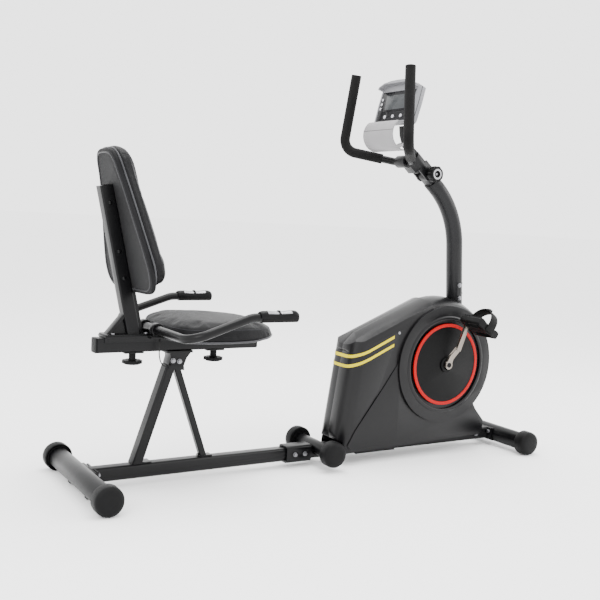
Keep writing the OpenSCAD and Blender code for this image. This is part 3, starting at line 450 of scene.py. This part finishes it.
def lathe_data(profile, origin, axis, n=64, cap=(True, True)):
    """Profile of (radius, distance along the axis) in mm, turned about the axis."""
    q = Vector(axis).to_track_quat("Z", "Y")
    rings = []
    turns = [2 * math.pi * i / n for i in range(n)]
    for r, h in profile:
        rings.append([origin + q @ Vector((r / 1000 * math.cos(a), r / 1000 * math.sin(a), h / 1000))
                      for a in turns])
    return loft_data(rings, True, cap)


def sweep_data(points, radius, n=12, closed=False, cap=True):
    """A round tube along points; radius in metres, or one for each point."""
    m = len(points)
    rr = radius if isinstance(radius, list) else [radius] * m
    tang = []
    for i in range(m):
        a = points[(i - 1) % m] if closed or i else points[i]
        b = points[(i + 1) % m] if closed or i < m - 1 else points[i]
        tang.append((b - a).normalized())
    ref = tang[0].orthogonal().normalized()
    rings = []
    turns = [2 * math.pi * k / n for k in range(n)]
    for i in range(m):
        if i:
            ref = tang[i - 1].rotation_difference(tang[i]) @ ref
            ref = (ref - tang[i] * ref.dot(tang[i])).normalized()
        side = tang[i].cross(ref)
        rings.append([points[i] + (ref * math.cos(a) + side * math.sin(a)) * rr[i] for a in turns])
    if closed:
        # turn the last ring to meet the first
        shift = min(range(n), key=lambda s: (rings[-1][s] - rings[0][0]).length)
        v, f = loft_data(rings, True, (False, False))
        k = (m - 1) * n
        for i in range(n):
            j = (i + 1) % n
            f.append((k + (i + shift) % n, k + (j + shift) % n, j, i))
        return v, f
    return loft_data(rings, True, (cap, cap))


def spline(points, per=8, closed=False):
    """Catmull-Rom points through the given ones."""
    pts = [Vector(p) for p in points]
    n = len(pts)
    out = []
    for i in range(n if closed else n - 1):
        p0 = pts[(i - 1) % n] if closed or i else pts[0]
        p1, p2 = pts[i], pts[(i + 1) % n]
        p3 = pts[(i + 2) % n] if closed or i + 2 < n else pts[-1]
        for k in range(per):
            t = k / per
            out.append(0.5 * ((2 * p1) + (p2 - p0) * t + (2 * p0 - 5 * p1 + 4 * p2 - p3) * t * t
                              + (3 * p1 - p0 - 3 * p2 + p3) * t * t * t))
    if not closed:
        out.append(pts[-1])
    return out


def resample(points, count, closed=True):
    """Evenly spaced points round a closed line."""
    pts = points + [points[0]] if closed else points
    d = [0.0]
    for a, b in zip(pts, pts[1:]):
        d.append(d[-1] + (b - a).length)
    out, k = [], 0
    for i in range(count):
        s = d[-1] * i / (count if closed else count - 1)
        while k < len(d) - 2 and d[k + 1] < s:
            k += 1
        t = (s - d[k]) / max(d[k + 1] - d[k], 1e-12)
        out.append(pts[k].lerp(pts[k + 1], t))
    return out


def dress(node, width=0.8, mat=None, angle=30, segments=2, smooth=38):
    """The CAD node's own shape with its hard edges rounded over by width mm; it stands for the node."""
    src = NODES[node]
    me = src.data.copy()
    drop_normals(me)
    bm = bmesh.new()
    bm.from_mesh(me)
    bmesh.ops.remove_doubles(bm, verts=bm.verts, dist=2e-6)
    bmesh.ops.dissolve_limit(bm, angle_limit=math.radians(0.5), verts=bm.verts, edges=bm.edges)
    bm.to_mesh(me)
    bm.free()
    name = node + "_edged"
    o = bpy.data.objects.new(name, me)
    scene.collection.objects.link(o)
    mod = o.modifiers.new("bevel", "BEVEL")
    mod.width = width / 1000
    mod.segments = segments
    mod.limit_method = "ANGLE"
    mod.angle_limit = math.radians(angle)
    mod.use_clamp_overlap = True
    mod.harden_normals = False
    mod.miter_outer = "MITER_ARC"
    dg = bpy.context.evaluated_depsgraph_get()
    done = bpy.data.meshes.new_from_object(o.evaluated_get(dg))
    bpy.data.objects.remove(o)
    body = src["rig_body"]
    slots = {s["node"]: s["material_slot"] for s in frame["record"]["subparts"]}
    return link(name, done, mat or slots[node], body, [node], smooth, slots[node])


# ---------------------------------------------------------------- stage
bpy.ops.mesh.primitive_plane_add(size=120, location=(0, 0, cad_box[0][2] - 0.0005))
floor = bpy.context.object
floor.name = "floor"
floor.data.materials.append(M["floor"])
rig.stage(floor)
world = bpy.data.worlds.new("World")
scene.world = world
world.use_nodes = True
world.node_tree.nodes["Background"].inputs["Color"].default_value = (1, 1, 1, 1)
world.node_tree.nodes["Background"].inputs["Strength"].default_value = 3.0


def area(name, loc, target, size, power):
    ld = bpy.data.lights.new(name, "AREA")
    ld.size, ld.energy = size, power
    ld.shape = "SQUARE"
    o = bpy.data.objects.new(name, ld)
    scene.collection.objects.link(o)
    o.location = loc
    o.rotation_mode = "QUATERNION"
    o.rotation_quaternion = (Vector(target) - Vector(loc)).to_track_quat("-Z", "Y")


area("key", (-3.0, -2.2, 2.6), (0, 0, 0.5), 1.4, 70)
area("side", (3.2, -1.6, 2.0), (0.2, 0, 0.5), 1.4, 45)
area("top", (0.2, 0.2, 3.4), (0, 0, 0.4), 2.0, 110)

# ---------------------------------------------------------------- cushions
def closed_outline(half, count):
    """A closed outline from one side's points (half width, distance along)."""
    pts = [Vector((w, u, 0)) for w, u in half] + [Vector((-w, u, 0)) for w, u in half[-2:0:-1]]
    return resample(spline(pts, 6, True), count)


def inset(ring, d):
    """The outline moved inward by d mm."""
    n = len(ring)
    turn = sum(ring[i].x * ring[(i + 1) % n].y - ring[(i + 1) % n].x * ring[i].y for i in range(n))
    out = []
    for i, p in enumerate(ring):
        t = (ring[(i + 1) % n] - ring[i - 1]).normalized()
        out.append(p - Vector((t.y, -t.x, 0)) * (d if turn > 0 else -d))
    return out


def pad_rings(ring, side, crown, spine, place):
    """Rings of a crowned pad: side is (height share, inset in mm), then the top closes toward the spine."""
    rings = [[place(p, h, 0) for p in inset(ring, d)] for h, d in side]
    last = inset(ring, side[-1][1])
    for s in (0.93, 0.85, 0.75, 0.63, 0.50, 0.36, 0.22, 0.10, 0.03):
        rings.append([place(spine(p).lerp(p, s), 1, crown * (1 - s ** 2.2)) for p in last])
    return rings


def puff(o, held, pressure=4.0, cap=0.007, voxel=0.005, frames=20):
    """Blows the pad up by cloth simulation, its movement capped and its held part pinned."""
    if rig.quick():
        return
    rm = o.modifiers.new("remesh", "REMESH")
    rm.mode, rm.voxel_size = "VOXEL", voxel
    bake(o)
    me = o.data
    rest = [v.co.copy() for v in me.vertices]
    pins = o.vertex_groups.new(name="held")
    pins.add([i for i, v in enumerate(rest) if held(v)], 1.0, "REPLACE")
    cl = o.modifiers.new("cloth", "CLOTH")
    s = cl.settings
    s.quality = 6
    s.mass = 0.25
    s.tension_stiffness = s.compression_stiffness = 12
    s.bending_stiffness = 0.6
    s.use_pressure = True
    s.uniform_pressure_force = pressure
    s.effector_weights.gravity = 0
    s.vertex_group_mass = "held"
    cl.point_cache.frame_start, cl.point_cache.frame_end = 1, frames
    for k in range(1, frames + 1):
        scene.frame_set(k)
    ev = o.evaluated_get(bpy.context.evaluated_depsgraph_get())
    moved = [v.co.copy() for v in ev.data.vertices]
    o.modifiers.remove(cl)
    o.vertex_groups.clear()
    scene.frame_set(1)
    for v, a, b in zip(me.vertices, rest, moved):
        d = b - a
        v.co = a + d * min(1, cap / max(d.length, 1e-9))
    sm = o.modifiers.new("smooth", "SMOOTH")
    sm.factor, sm.iterations = 0.5, 3
    sub = o.modifiers.new("sub", "SUBSURF")
    sub.levels = sub.render_levels = 1
    bake(o)
    shade(o.data, 60)


def bake(o):
    """Applies the modifiers."""
    me = bpy.data.meshes.new_from_object(o.evaluated_get(bpy.context.evaluated_depsgraph_get()))
    o.modifiers.clear()
    o.data = me


def laid_on(o, points):
    """The points moved onto the nearest place of o's surface."""
    tree = BVHTree.FromPolygons([v.co for v in o.data.vertices],
                                [tuple(p.vertices) for p in o.data.polygons])
    return [tree.find_nearest(p)[0] for p in points]


def seam(name, o, points, radius, mat, body):
    """A round welt sewn along points, laid on the pad o."""
    pts = laid_on(o, points)
    for _ in range(3):
        pts = [(pts[i - 1] + pts[i] * 2 + pts[(i + 1) % len(pts)]) / 4 for i in range(len(pts))]
    v, f = sweep_data(pts, radius, 10, True)
    return mesh(name, v, f, mat, body, (), 60)


# the leaning back: n toward the rider, w to the left, u up the back, in mm
LEAN = math.radians(12.8)
BK = Vector((X0 + 0.1165, 0, SEAT_TOP + 0.0064))


def on_back(n, w, u):
    c, s = math.cos(LEAN), math.sin(LEAN)
    return BK + Vector((c * n - s * u, w, s * n + c * u)) / 1000


BACK = [(0, 518), (30, 517), (52, 511), (67, 499), (77, 481), (89, 438), (106, 390), (125, 340),
        (143, 292), (160, 246), (171, 216), (176, 196), (174, 174), (165, 156), (148, 144), (121, 138),
        (60, 136), (0, 135)]
back_ring = closed_outline(BACK, 168)
# the shell behind the cushion reaches lower
shell_ring = closed_outline([(w, u - 20 * max(0, (250 - u) / 115)) for w, u in BACK], 168)


def on_shell(n, w, u):
    return on_back(n - 7 * max(0, (u - 380) / 138) ** 2, w, u)


shell_side = [(38.4, 15), (38.4, 5), (39.2, 2.2), (41, 0.8), (44, 0), (49, 0), (51, 1.2), (51.6, 4),
              (51.6, 12)]
rings = [[on_shell(n, p.x, p.y) for p in inset(shell_ring, d)] for n, d in shell_side]
v, f = loft_data(rings)
mesh("back_shell", v, f, "back_skin", "seat", ["back_board"], 50)
# moulded border on the rear of the shell
v, f = sweep_data([on_shell(38.3, p.x, p.y) for p in inset(shell_ring, 11)], 0.0026, 10, True)
mesh("back_shell_border", v, f, "shell_rim", "seat", (), 60)
v, f = sweep_data([on_shell(53.3, p.x, p.y) for p in inset(back_ring, 0.2)], 0.0026, 12, True)
mesh("back_welt", v, f, "piping", "seat", (), 60)


def back_place(p, h, lift):
    return on_back(54 + 34 * h + lift - 7 * (1 - h) * max(0, (p.y - 380) / 138) ** 2, p.x, p.y)


def back_spine(p):
    return Vector((0, min(max(p.y, 230), 430), 0))


back_side = [(0.0, 6), (0.0, 3), (0.04, 0.4), (0.15, -1.2), (0.35, -2.0), (0.55, -1.4), (0.72, 1.2),
             (0.86, 5.5), (0.95, 10.5), (1.0, 17)]
v, f = loft_data(pad_rings(back_ring, back_side, 4.5, back_spine, back_place))
back_pad = mesh("back_pad", v, f, "seat_fabric", "seat", ["back_cushion"], 60)
puff(back_pad, lambda c: (c - BK).dot(Vector((math.cos(LEAN), 0, math.sin(LEAN)))) < 0.0565, cap=0.005)
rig.padded(back_pad, fill=0.75)
seam("back_pad_seam", back_pad, [back_place(p, 0.8, 0) for p in inset(back_ring, 3.0)], 0.0011,
     "stitch", "seat")

# the seat: x ahead of the rear stabiliser, half width y
SEAT = [(0, 208), (60, 210), (110, 215), (148, 228), (172, 252), (186, 295), (190, 350), (184, 410),
        (168, 460), (146, 496), (122, 519), (98, 534), (70, 542), (36, 546), (0, 547)]
seat_ring = closed_outline(SEAT, 184)
ZC = SEAT_TOP * 1000 + 6.2


def curve(pairs, x):
    for (x0, z0), (x1, z1) in zip(pairs, pairs[1:]):
        if x <= x1:
            t = min(max((x - x0) / (x1 - x0), 0), 1)
            t = t * t * (3 - 2 * t)
            return z0 + (z1 - z0) * t
    return pairs[-1][1]


def seat_low(x):
    return ZC + curve([(200, -3.0), (430, -3.0), (480, 0.5), (590, 9.0)], x)


def seat_high(x):
    return ZC + curve([(200, 39), (225, 42), (290, 45), (380, 43), (480, 39), (545, 34), (590, 31)], x)


def seat_place(p, h, lift):
    lo, hi = seat_low(p.y), seat_high(p.y)
    return W(p.y, p.x, lo + (hi - lo) * h + lift)


def seat_spine(p):
    return Vector((0, min(max(p.y, 320), 430), 0))


seat_side = [(0.0, 8), (0.0, 3.5), (0.03, 0.8), (0.12, -0.6), (0.3, -1.4), (0.5, -1.0), (0.68, 1.0),
             (0.82, 4.5), (0.92, 9.5), (0.98, 16), (1.0, 24)]
v, f = loft_data(pad_rings(seat_ring, seat_side, 7.5, seat_spine, seat_place))
seat_pad = mesh("seat_pad", v, f, "seat_fabric", "seat", ["seat_cushion"], 60)
puff(seat_pad, lambda c: c.z * 1000 < seat_low((c.x - X0) * 1000) + 3, cap=0.005)
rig.padded(seat_pad, fill=0.75)
v, f = sweep_data([seat_place(p, 0, 0.4) for p in inset(seat_ring, 0.6)], 0.0030, 12, True)
mesh("seat_welt", v, f, "piping", "seat", (), 60)
v, f = loft_data([[seat_place(p, 0, dz) for p in inset(seat_ring, d)]
                  for dz, d in ((1.5, 10), (-2.5, 9), (-3.2, 6), (-2.0, 2.4), (-0.5, 1.2), (1.5, 1.6))],
                 True, (False, False))
mesh("seat_rim", v, f, "inner_plastic", "seat", (), 50)
seam("seat_seam", seat_pad, [seat_place(p, 0.8, 0) for p in inset(seat_ring, 4)], 0.0011, "stitch", "seat")

# ---------------------------------------------------------------- hard parts with softened edges
# width in mm by which each hard node's edges are rounded over
EDGES = {
    "rear_stabiliser": 0.6, "rear_feet": 0.8, "lower_rail": 0.8, "base_frame": 0.8,
    "mid_stabiliser": 0.6, "front_stabiliser": 0.6, "front_feet": 0.8, "bolts": 0.5,
    "seat_post": 0.9, "seat_rail": 0.8, "rail_plugs": 1.0, "mast": 0.6, "shroud_right": 3.0,
    "shroud_left": 3.0, "shroud_screws": 0.4, "crank_axle": 0.8, "crank_arms": 2.2,
    "crank_discs": 1.0, "crank_rings": 0.8, "pedal_spindles": 0.5, "pedal_right": 1.2,
    "pedal_left": 1.2, "strap_right": 0.8, "strap_left": 0.8, "wheel_right": 0.8, "wheel_left": 0.8,
    "seat_carriage": 0.8, "clamp_plates": 0.6, "back_upright": 1.0, "seat_pan": 2.0,
    "handle_grips": 1.0, "seat_bolts": 0.4, "rear_knob": 1.6, "front_knob": 1.6, "tilt_head": 2.0,
    "handlebar": 0.6, "bar_grips": 2.0, "console_body": 4.0, "console_tray": 1.2,
    "console_screen": 0.6, "tilt_knob": 1.4, "button_a": 0.8, "button_b": 0.8, "button_c": 0.8,
}
for node, width in EDGES.items():
    dress(node, width, segments=3 if width >= 1.5 else 2)

# ---------------------------------------------------------------- shroud details
def prism_data(points, y0, y1):
    """A plate from a closed line of (x, z) points, in mm ahead of the rear stabiliser, between two y."""
    n = len(points)
    return loft_data([[W(x, y, z) for x, z in points] for y in (y0, y1)])


def bevelled(o, width, segments=3, angle=30):
    mod = o.modifiers.new("bevel", "BEVEL")
    mod.width, mod.segments = width / 1000, segments
    mod.limit_method, mod.angle_limit = "ANGLE", math.radians(angle)
    bake(o)
    shade(o.data, 40)
    return o


CRX, CRZ = (CX - X0) * 1000, CZ * 1000
panel = [(853, 66), (879, 113), (930, 180), (984, 251), (1041, 332)]
PANEL_R = 182                        # arc of the lower panel round the crank
panel += [(CRX + PANEL_R * math.cos(math.radians(a)), CRZ + PANEL_R * math.sin(math.radians(a)))
          for a in range(148, 316, 6)]
panel += [(1392, 154), (1430, 112), (1430, 74), (1412, 64), (1240, 60), (1050, 56), (862, 52)]
for s, side in ((-1, "right"), (1, "left")):
    v, f = prism_data(panel, s * 69.0, s * 73.0)
    bevelled(mesh("shroud_panel_" + side, v, f, "shroud_black", "frame"), 2.4)
    # rim round the crank recess
    prof = [(153.5, 70), (153.5, 81.0), (155.0, 82.6), (158.5, 83.0), (163.0, 82.4), (166.5, 80.2),
            (166.5, 70)]
    v, f = lathe_data(prof, W(CRX, 0, CRZ), (0, s, 0), 160, (False, False))
    n = 160
    k = len(prof) - 1
    f += [(k * n + i, k * n + (i + 1) % n, (i + 1) % n, i) for i in range(n)]
    mesh("crank_rim_" + side, v, f, "shroud_black", "frame", (), 50)

# ---------------------------------------------------------------- crank and pedals
for s, side in ((-1, "right"), (1, "left")):
    v, f = lathe_data([(0, 0), (7.5, 0), (8.3, 0.6), (8.3, 2.0), (0, 2.0)], W(CRX, s * 96.2, CRZ),
                      (0, s, 0), 32, (False, False))
    mesh("crank_cap_" + side, v, f, "cap_black", "crank")
    # dark boss round the axle on the disc
    prof = [(15.6, 0), (15.6, 7), (17, 8), (24, 8), (26, 6.5), (27, 0)]
    v, f = lathe_data(prof, W(CRX, s * 80.2, CRZ), (0, s, 0), 64, (False, False))
    mesh("hub_ring_" + side, v, f, "disc_dark", "crank", (), 30)
TILT = math.radians(34)
for side in ("right", "left"):
    lo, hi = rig.box("pedal_" + side)
    yc = (lo.y + hi.y) / 2
    pc = Vector(((lo.x + hi.x) / 2, yc, (lo.z + hi.z) / 2))
    ax, az = Vector((math.cos(TILT), 0, -math.sin(TILT))), Vector((math.sin(TILT), 0, math.cos(TILT)))
    pc = pc + az * 0.001
    parts = []
    for k in range(-4, 5):
        for e in (-1, 1):
            c = pc + ax * (e * 0.041) + az * 0.0120 + Vector((0, k * 0.0095, 0))
            q = [c + ax * (i * 0.0055) + Vector((0, j * 0.0018, 0)) + az * h for h in (-0.002, 0.0022)
                 for i, j in ((-1, -1), (1, -1), (1, 1), (-1, 1))]
            parts.append((q, BLOCK))
    v, f = join_data(parts)
    bevelled(mesh("pedal_tread_" + side, v, f, "pad_rubber", "pedal_" + side[0]), 0.5, 2)

# ---------------------------------------------------------------- console
CT = math.radians(15)


def on_console(x, y, z):
    """A point on the console: x into it from its face, y left, z up its face, in mm."""
    return Vector((HX - 0.158, 0, HZ + 0.166)) + Vector((math.cos(CT) * x + math.sin(CT) * z, y,
                                                         -math.sin(CT) * x + math.cos(CT) * z)) / 1000


def plate(name, outline, x0, x1, mat, body, width=0.4):
    v, f = loft_data([[on_console(x, y, z) for y, z in outline] for x in (x0, x1)])
    return bevelled(mesh(name, v, f, mat, body), width, 2)


plate("lcd_frame", [(-62, 31), (62, 31), (70, 92), (-70, 92)], -0.6, 0.9, "console_face", "head", 0.5)
plate("lcd_glass", [(-54, 37), (54, 37), (61, 86), (-61, 86)], -0.9, 0.4, "lcd", "head", 0.3)
bars = []
# height up the face, and the ends of each dash
LCD_ROWS = ((76, [(-50, -30), (-22, 2), (12, 34)]), (62, [(-50, -18), (-8, 30)]),
            (46, [(-46, -26), (-14, 6), (18, 40)]))
for z0, spans in LCD_ROWS:
    for y0, y1 in spans:
        for dz in (0, 5.0):
            q = [on_console(x, y, z) for x in (-1.15, -0.85) for y, z in
                 ((y0, z0 + dz), (y1, z0 + dz), (y1, z0 + dz + 1.3), (y0, z0 + dz + 1.3))]
            bars.append((q, BLOCK))
v, f = join_data(bars)
mesh("lcd_marks", v, f, "ink", "head")
for k, z in enumerate((42, 58, 74)):
    v, f = lathe_data([(0, -2.2), (3.6, -2.0), (4.6, -1.0), (4.6, 0.9), (0, 0.9)],
                      on_console(0, 79, z),
                      on_console(1, 0, 0) - on_console(0, 0, 0), 24, (False, False))
    mesh("side_key_%d" % k, v, f, "button_silver", "head")
# joint line between the hood's two halves
hood = [(-95.4, 4), (-97.4, 60), (-95.4, 112), (-70, 124.3), (-35, 129.3), (0, 130.3), (35, 129.3),
        (70, 124.3),
        (95.4, 112), (97.4, 60), (95.4, 4)]
v, f = sweep_data([on_console(15, y, z) for y, z in hood], 0.0007, 8)
mesh("hood_joint", v, f, "cap_black", "head")
# joint line of the tray
TRX, TRZ = HX - 0.160, HZ + 0.116
v, f = sweep_data([Vector((TRX - 0.0508, y / 1000, TRZ + 0.0112)) for y in range(-79, 80, 2)], 0.0006, 8)
mesh("tray_joint", v, f, "cap_black", "head")

# ---------------------------------------------------------------- tilt knob ring and screw
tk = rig.box("tilt_knob")
v, f = lathe_data([(11.6, 0), (11.6, 1.0), (12.6, 1.7), (16.4, 1.7), (17.4, 1.0), (17.4, 0)],
                  Vector((HX, tk[0].y + 0.0002, HZ)), (0, -1, 0), 64, (False, False))
mesh("tilt_knob_ring", v, f, "sensor_plate", "tilt_knob", (), 30)
v, f = lathe_data([(0, 0), (3.6, 0), (4.6, -0.6), (4.6, -3.0)], Vector((HX, tk[0].y + 0.0035, HZ)),
                  (0, -1, 0), 6, (False, False))
mesh("tilt_knob_screw", v, f, "zinc", "tilt_knob")

# ---------------------------------------------------------------- side grips
glo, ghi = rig.box("handle_grips")
GY = ghi.y - 0.0144
GZ = (glo.z + ghi.z) / 2
for s, side in ((-1, "right"), (1, "left")):
    # saddle shaped housing: high at both ends, scooped between
    def saddle(x0, x1, half, lift, low, name, mat, ease=16):
        rings = []
        for k in range(33):
            t = k / 32
            x = x0 + (x1 - x0) * t
            u = (x - 450) / 58
            rise = 7.5 * abs(u) ** 2.0 * math.exp(-1.5 * max(0, abs(u) - 0.62))
            top = 16.0 + lift + rise - 1.0 * max(0, -u)
            end = min(1, min(t, 1 - t) * ease)
            top = 15 + (top - 15) * (1 - (1 - end) ** 2) ** 0.5 if end < 1 else top
            ring = []
            for a in range(25):
                th = math.radians(-half + 2 * half * a / 24)
                r = 15 + (top - 15) * max(math.cos(th), 0) ** 0.7 + 0.3
                ring.append(W(x, 0, 0) + Vector((0, s * GY + r * math.sin(th) / 1000,
                                                 GZ + r * math.cos(th) / 1000)))
            for a in range(24, -1, -1):
                th = math.radians(-half + 2 * half * a / 24)
                ring.append(W(x, 0, 0) + Vector((0, s * GY + low * math.sin(th) / 1000,
                                                 GZ + low * math.cos(th) / 1000)))
            rings.append(ring)
        v, f = loft_data(rings)
        return mesh(name + "_" + side, v, f, mat, "seat", (), 40)

    saddle(390, 508, 96, 0.0, 14.5, "sensor_housing", "sensor_black", 4.5)
    saddle(411, 447, 50, 0.8, 14.6, "sensor_plate_rear", "sensor_plate", 12)
    saddle(453, 489, 50, 0.8, 14.6, "sensor_plate_front", "sensor_plate", 12)
    c = W(450, 0, 0) + Vector((0, s * GY, GZ + 0.0162))
    v, f = lathe_data([(5.6, -1), (5.4, 1.6), (4.4, 2.9), (2.4, 3.5), (0, 3.6)], c, (0, 0, 1), 32,
                      (False, False))
    mesh("sensor_bump_" + side, v, f, "sensor_black", "seat")
    # end plug of the grip
    c = Vector((ghi.x - 0.0002, s * GY, GZ))
    v, f = lathe_data([(12.6, 0), (12.2, 1.0), (10.5, 1.9), (6, 2.4), (0, 2.5)], c, (1, 0, 0), 40,
                      (False, False))
    mesh("grip_plug_" + side, v, f, "cap_black", "seat")
for n in ("sensor_housings", "sensor_plates"):
    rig.replaces(bpy.data.objects["sensor_housing_right"], n)

# ---------------------------------------------------------------- bolts on the back upright
for k, u in enumerate((372, 236, 160)):
    v, f = lathe_data([(0, 3.4), (3.8, 3.3), (5.4, 2.2), (6.0, 0.6), (6.0, 0)], on_back(19, -20.0, u),
                      (0, -1, 0), 32, (False, False))
    mesh("upright_bolt_%d" % k, v, f, "black_steel", "seat")


# welds where the tubes meet
def weld(name, pts, body, r=0.0022, steps=60):
    ripple = [r * (0.8 + 0.25 * math.sin(i * 1.9)) for i in range(steps)]
    v, f = sweep_data(resample([Vector(p) for p in pts], steps, False), ripple, 8)
    return mesh(name, v, f, "black_steel", body, (), 60)


for s in (-1, 1):
    tag = "right" if s < 0 else "left"
    weld("weld_leg_" + tag, [W(146, s * 16.5, 67), W(182, s * 16.5, 67)], "frame")
    weld("weld_brace_" + tag, [W(357, s * 11.5, 67), W(386, s * 11.5, 67)], "frame")

# ---------------------------------------------------------------- pulse lead, from the seat to the seat post
LEAD_D = 0.0034
lead = spline([W(204, -40, 426), W(201.5, -44.5, 398), W(203, -46, 376), W(210, -43, 360),
               W(224, -35, 349.5), W(244, -26, 350)], 10)
v, f = sweep_data(lead, LEAD_D / 2, 12)
pulse = mesh("pulse_lead", v, f, "lead_black", None, ["pulse_cable"], 60)
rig.blend(pulse, "frame", "seat", lead[-1], lead[0])
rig.cord(pulse, exit=lead[0], length=sum((b - a).length for a, b in zip(lead, lead[1:])),
        diameter=LEAD_D, far_end="object", stiffness="medium", lay="hanging", path=lead)
v, f = sweep_data([lead[-1] + Vector((-0.004, 0, 0)), lead[-1] + Vector((0.003, 0, 0))], 0.0034, 16)
mesh("lead_grommet_low", v, f, "pad_rubber", "frame")
v, f = sweep_data([lead[0] + Vector((0, 0, -0.004)), lead[0] + Vector((0, 0, 0.003))], 0.0034, 16)
mesh("lead_grommet_top", v, f, "pad_rubber", "seat")

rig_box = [list(v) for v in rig.bounds()]
with open("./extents.json", "w") as f:
    json.dump({"cad": cad_box, "visual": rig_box}, f)
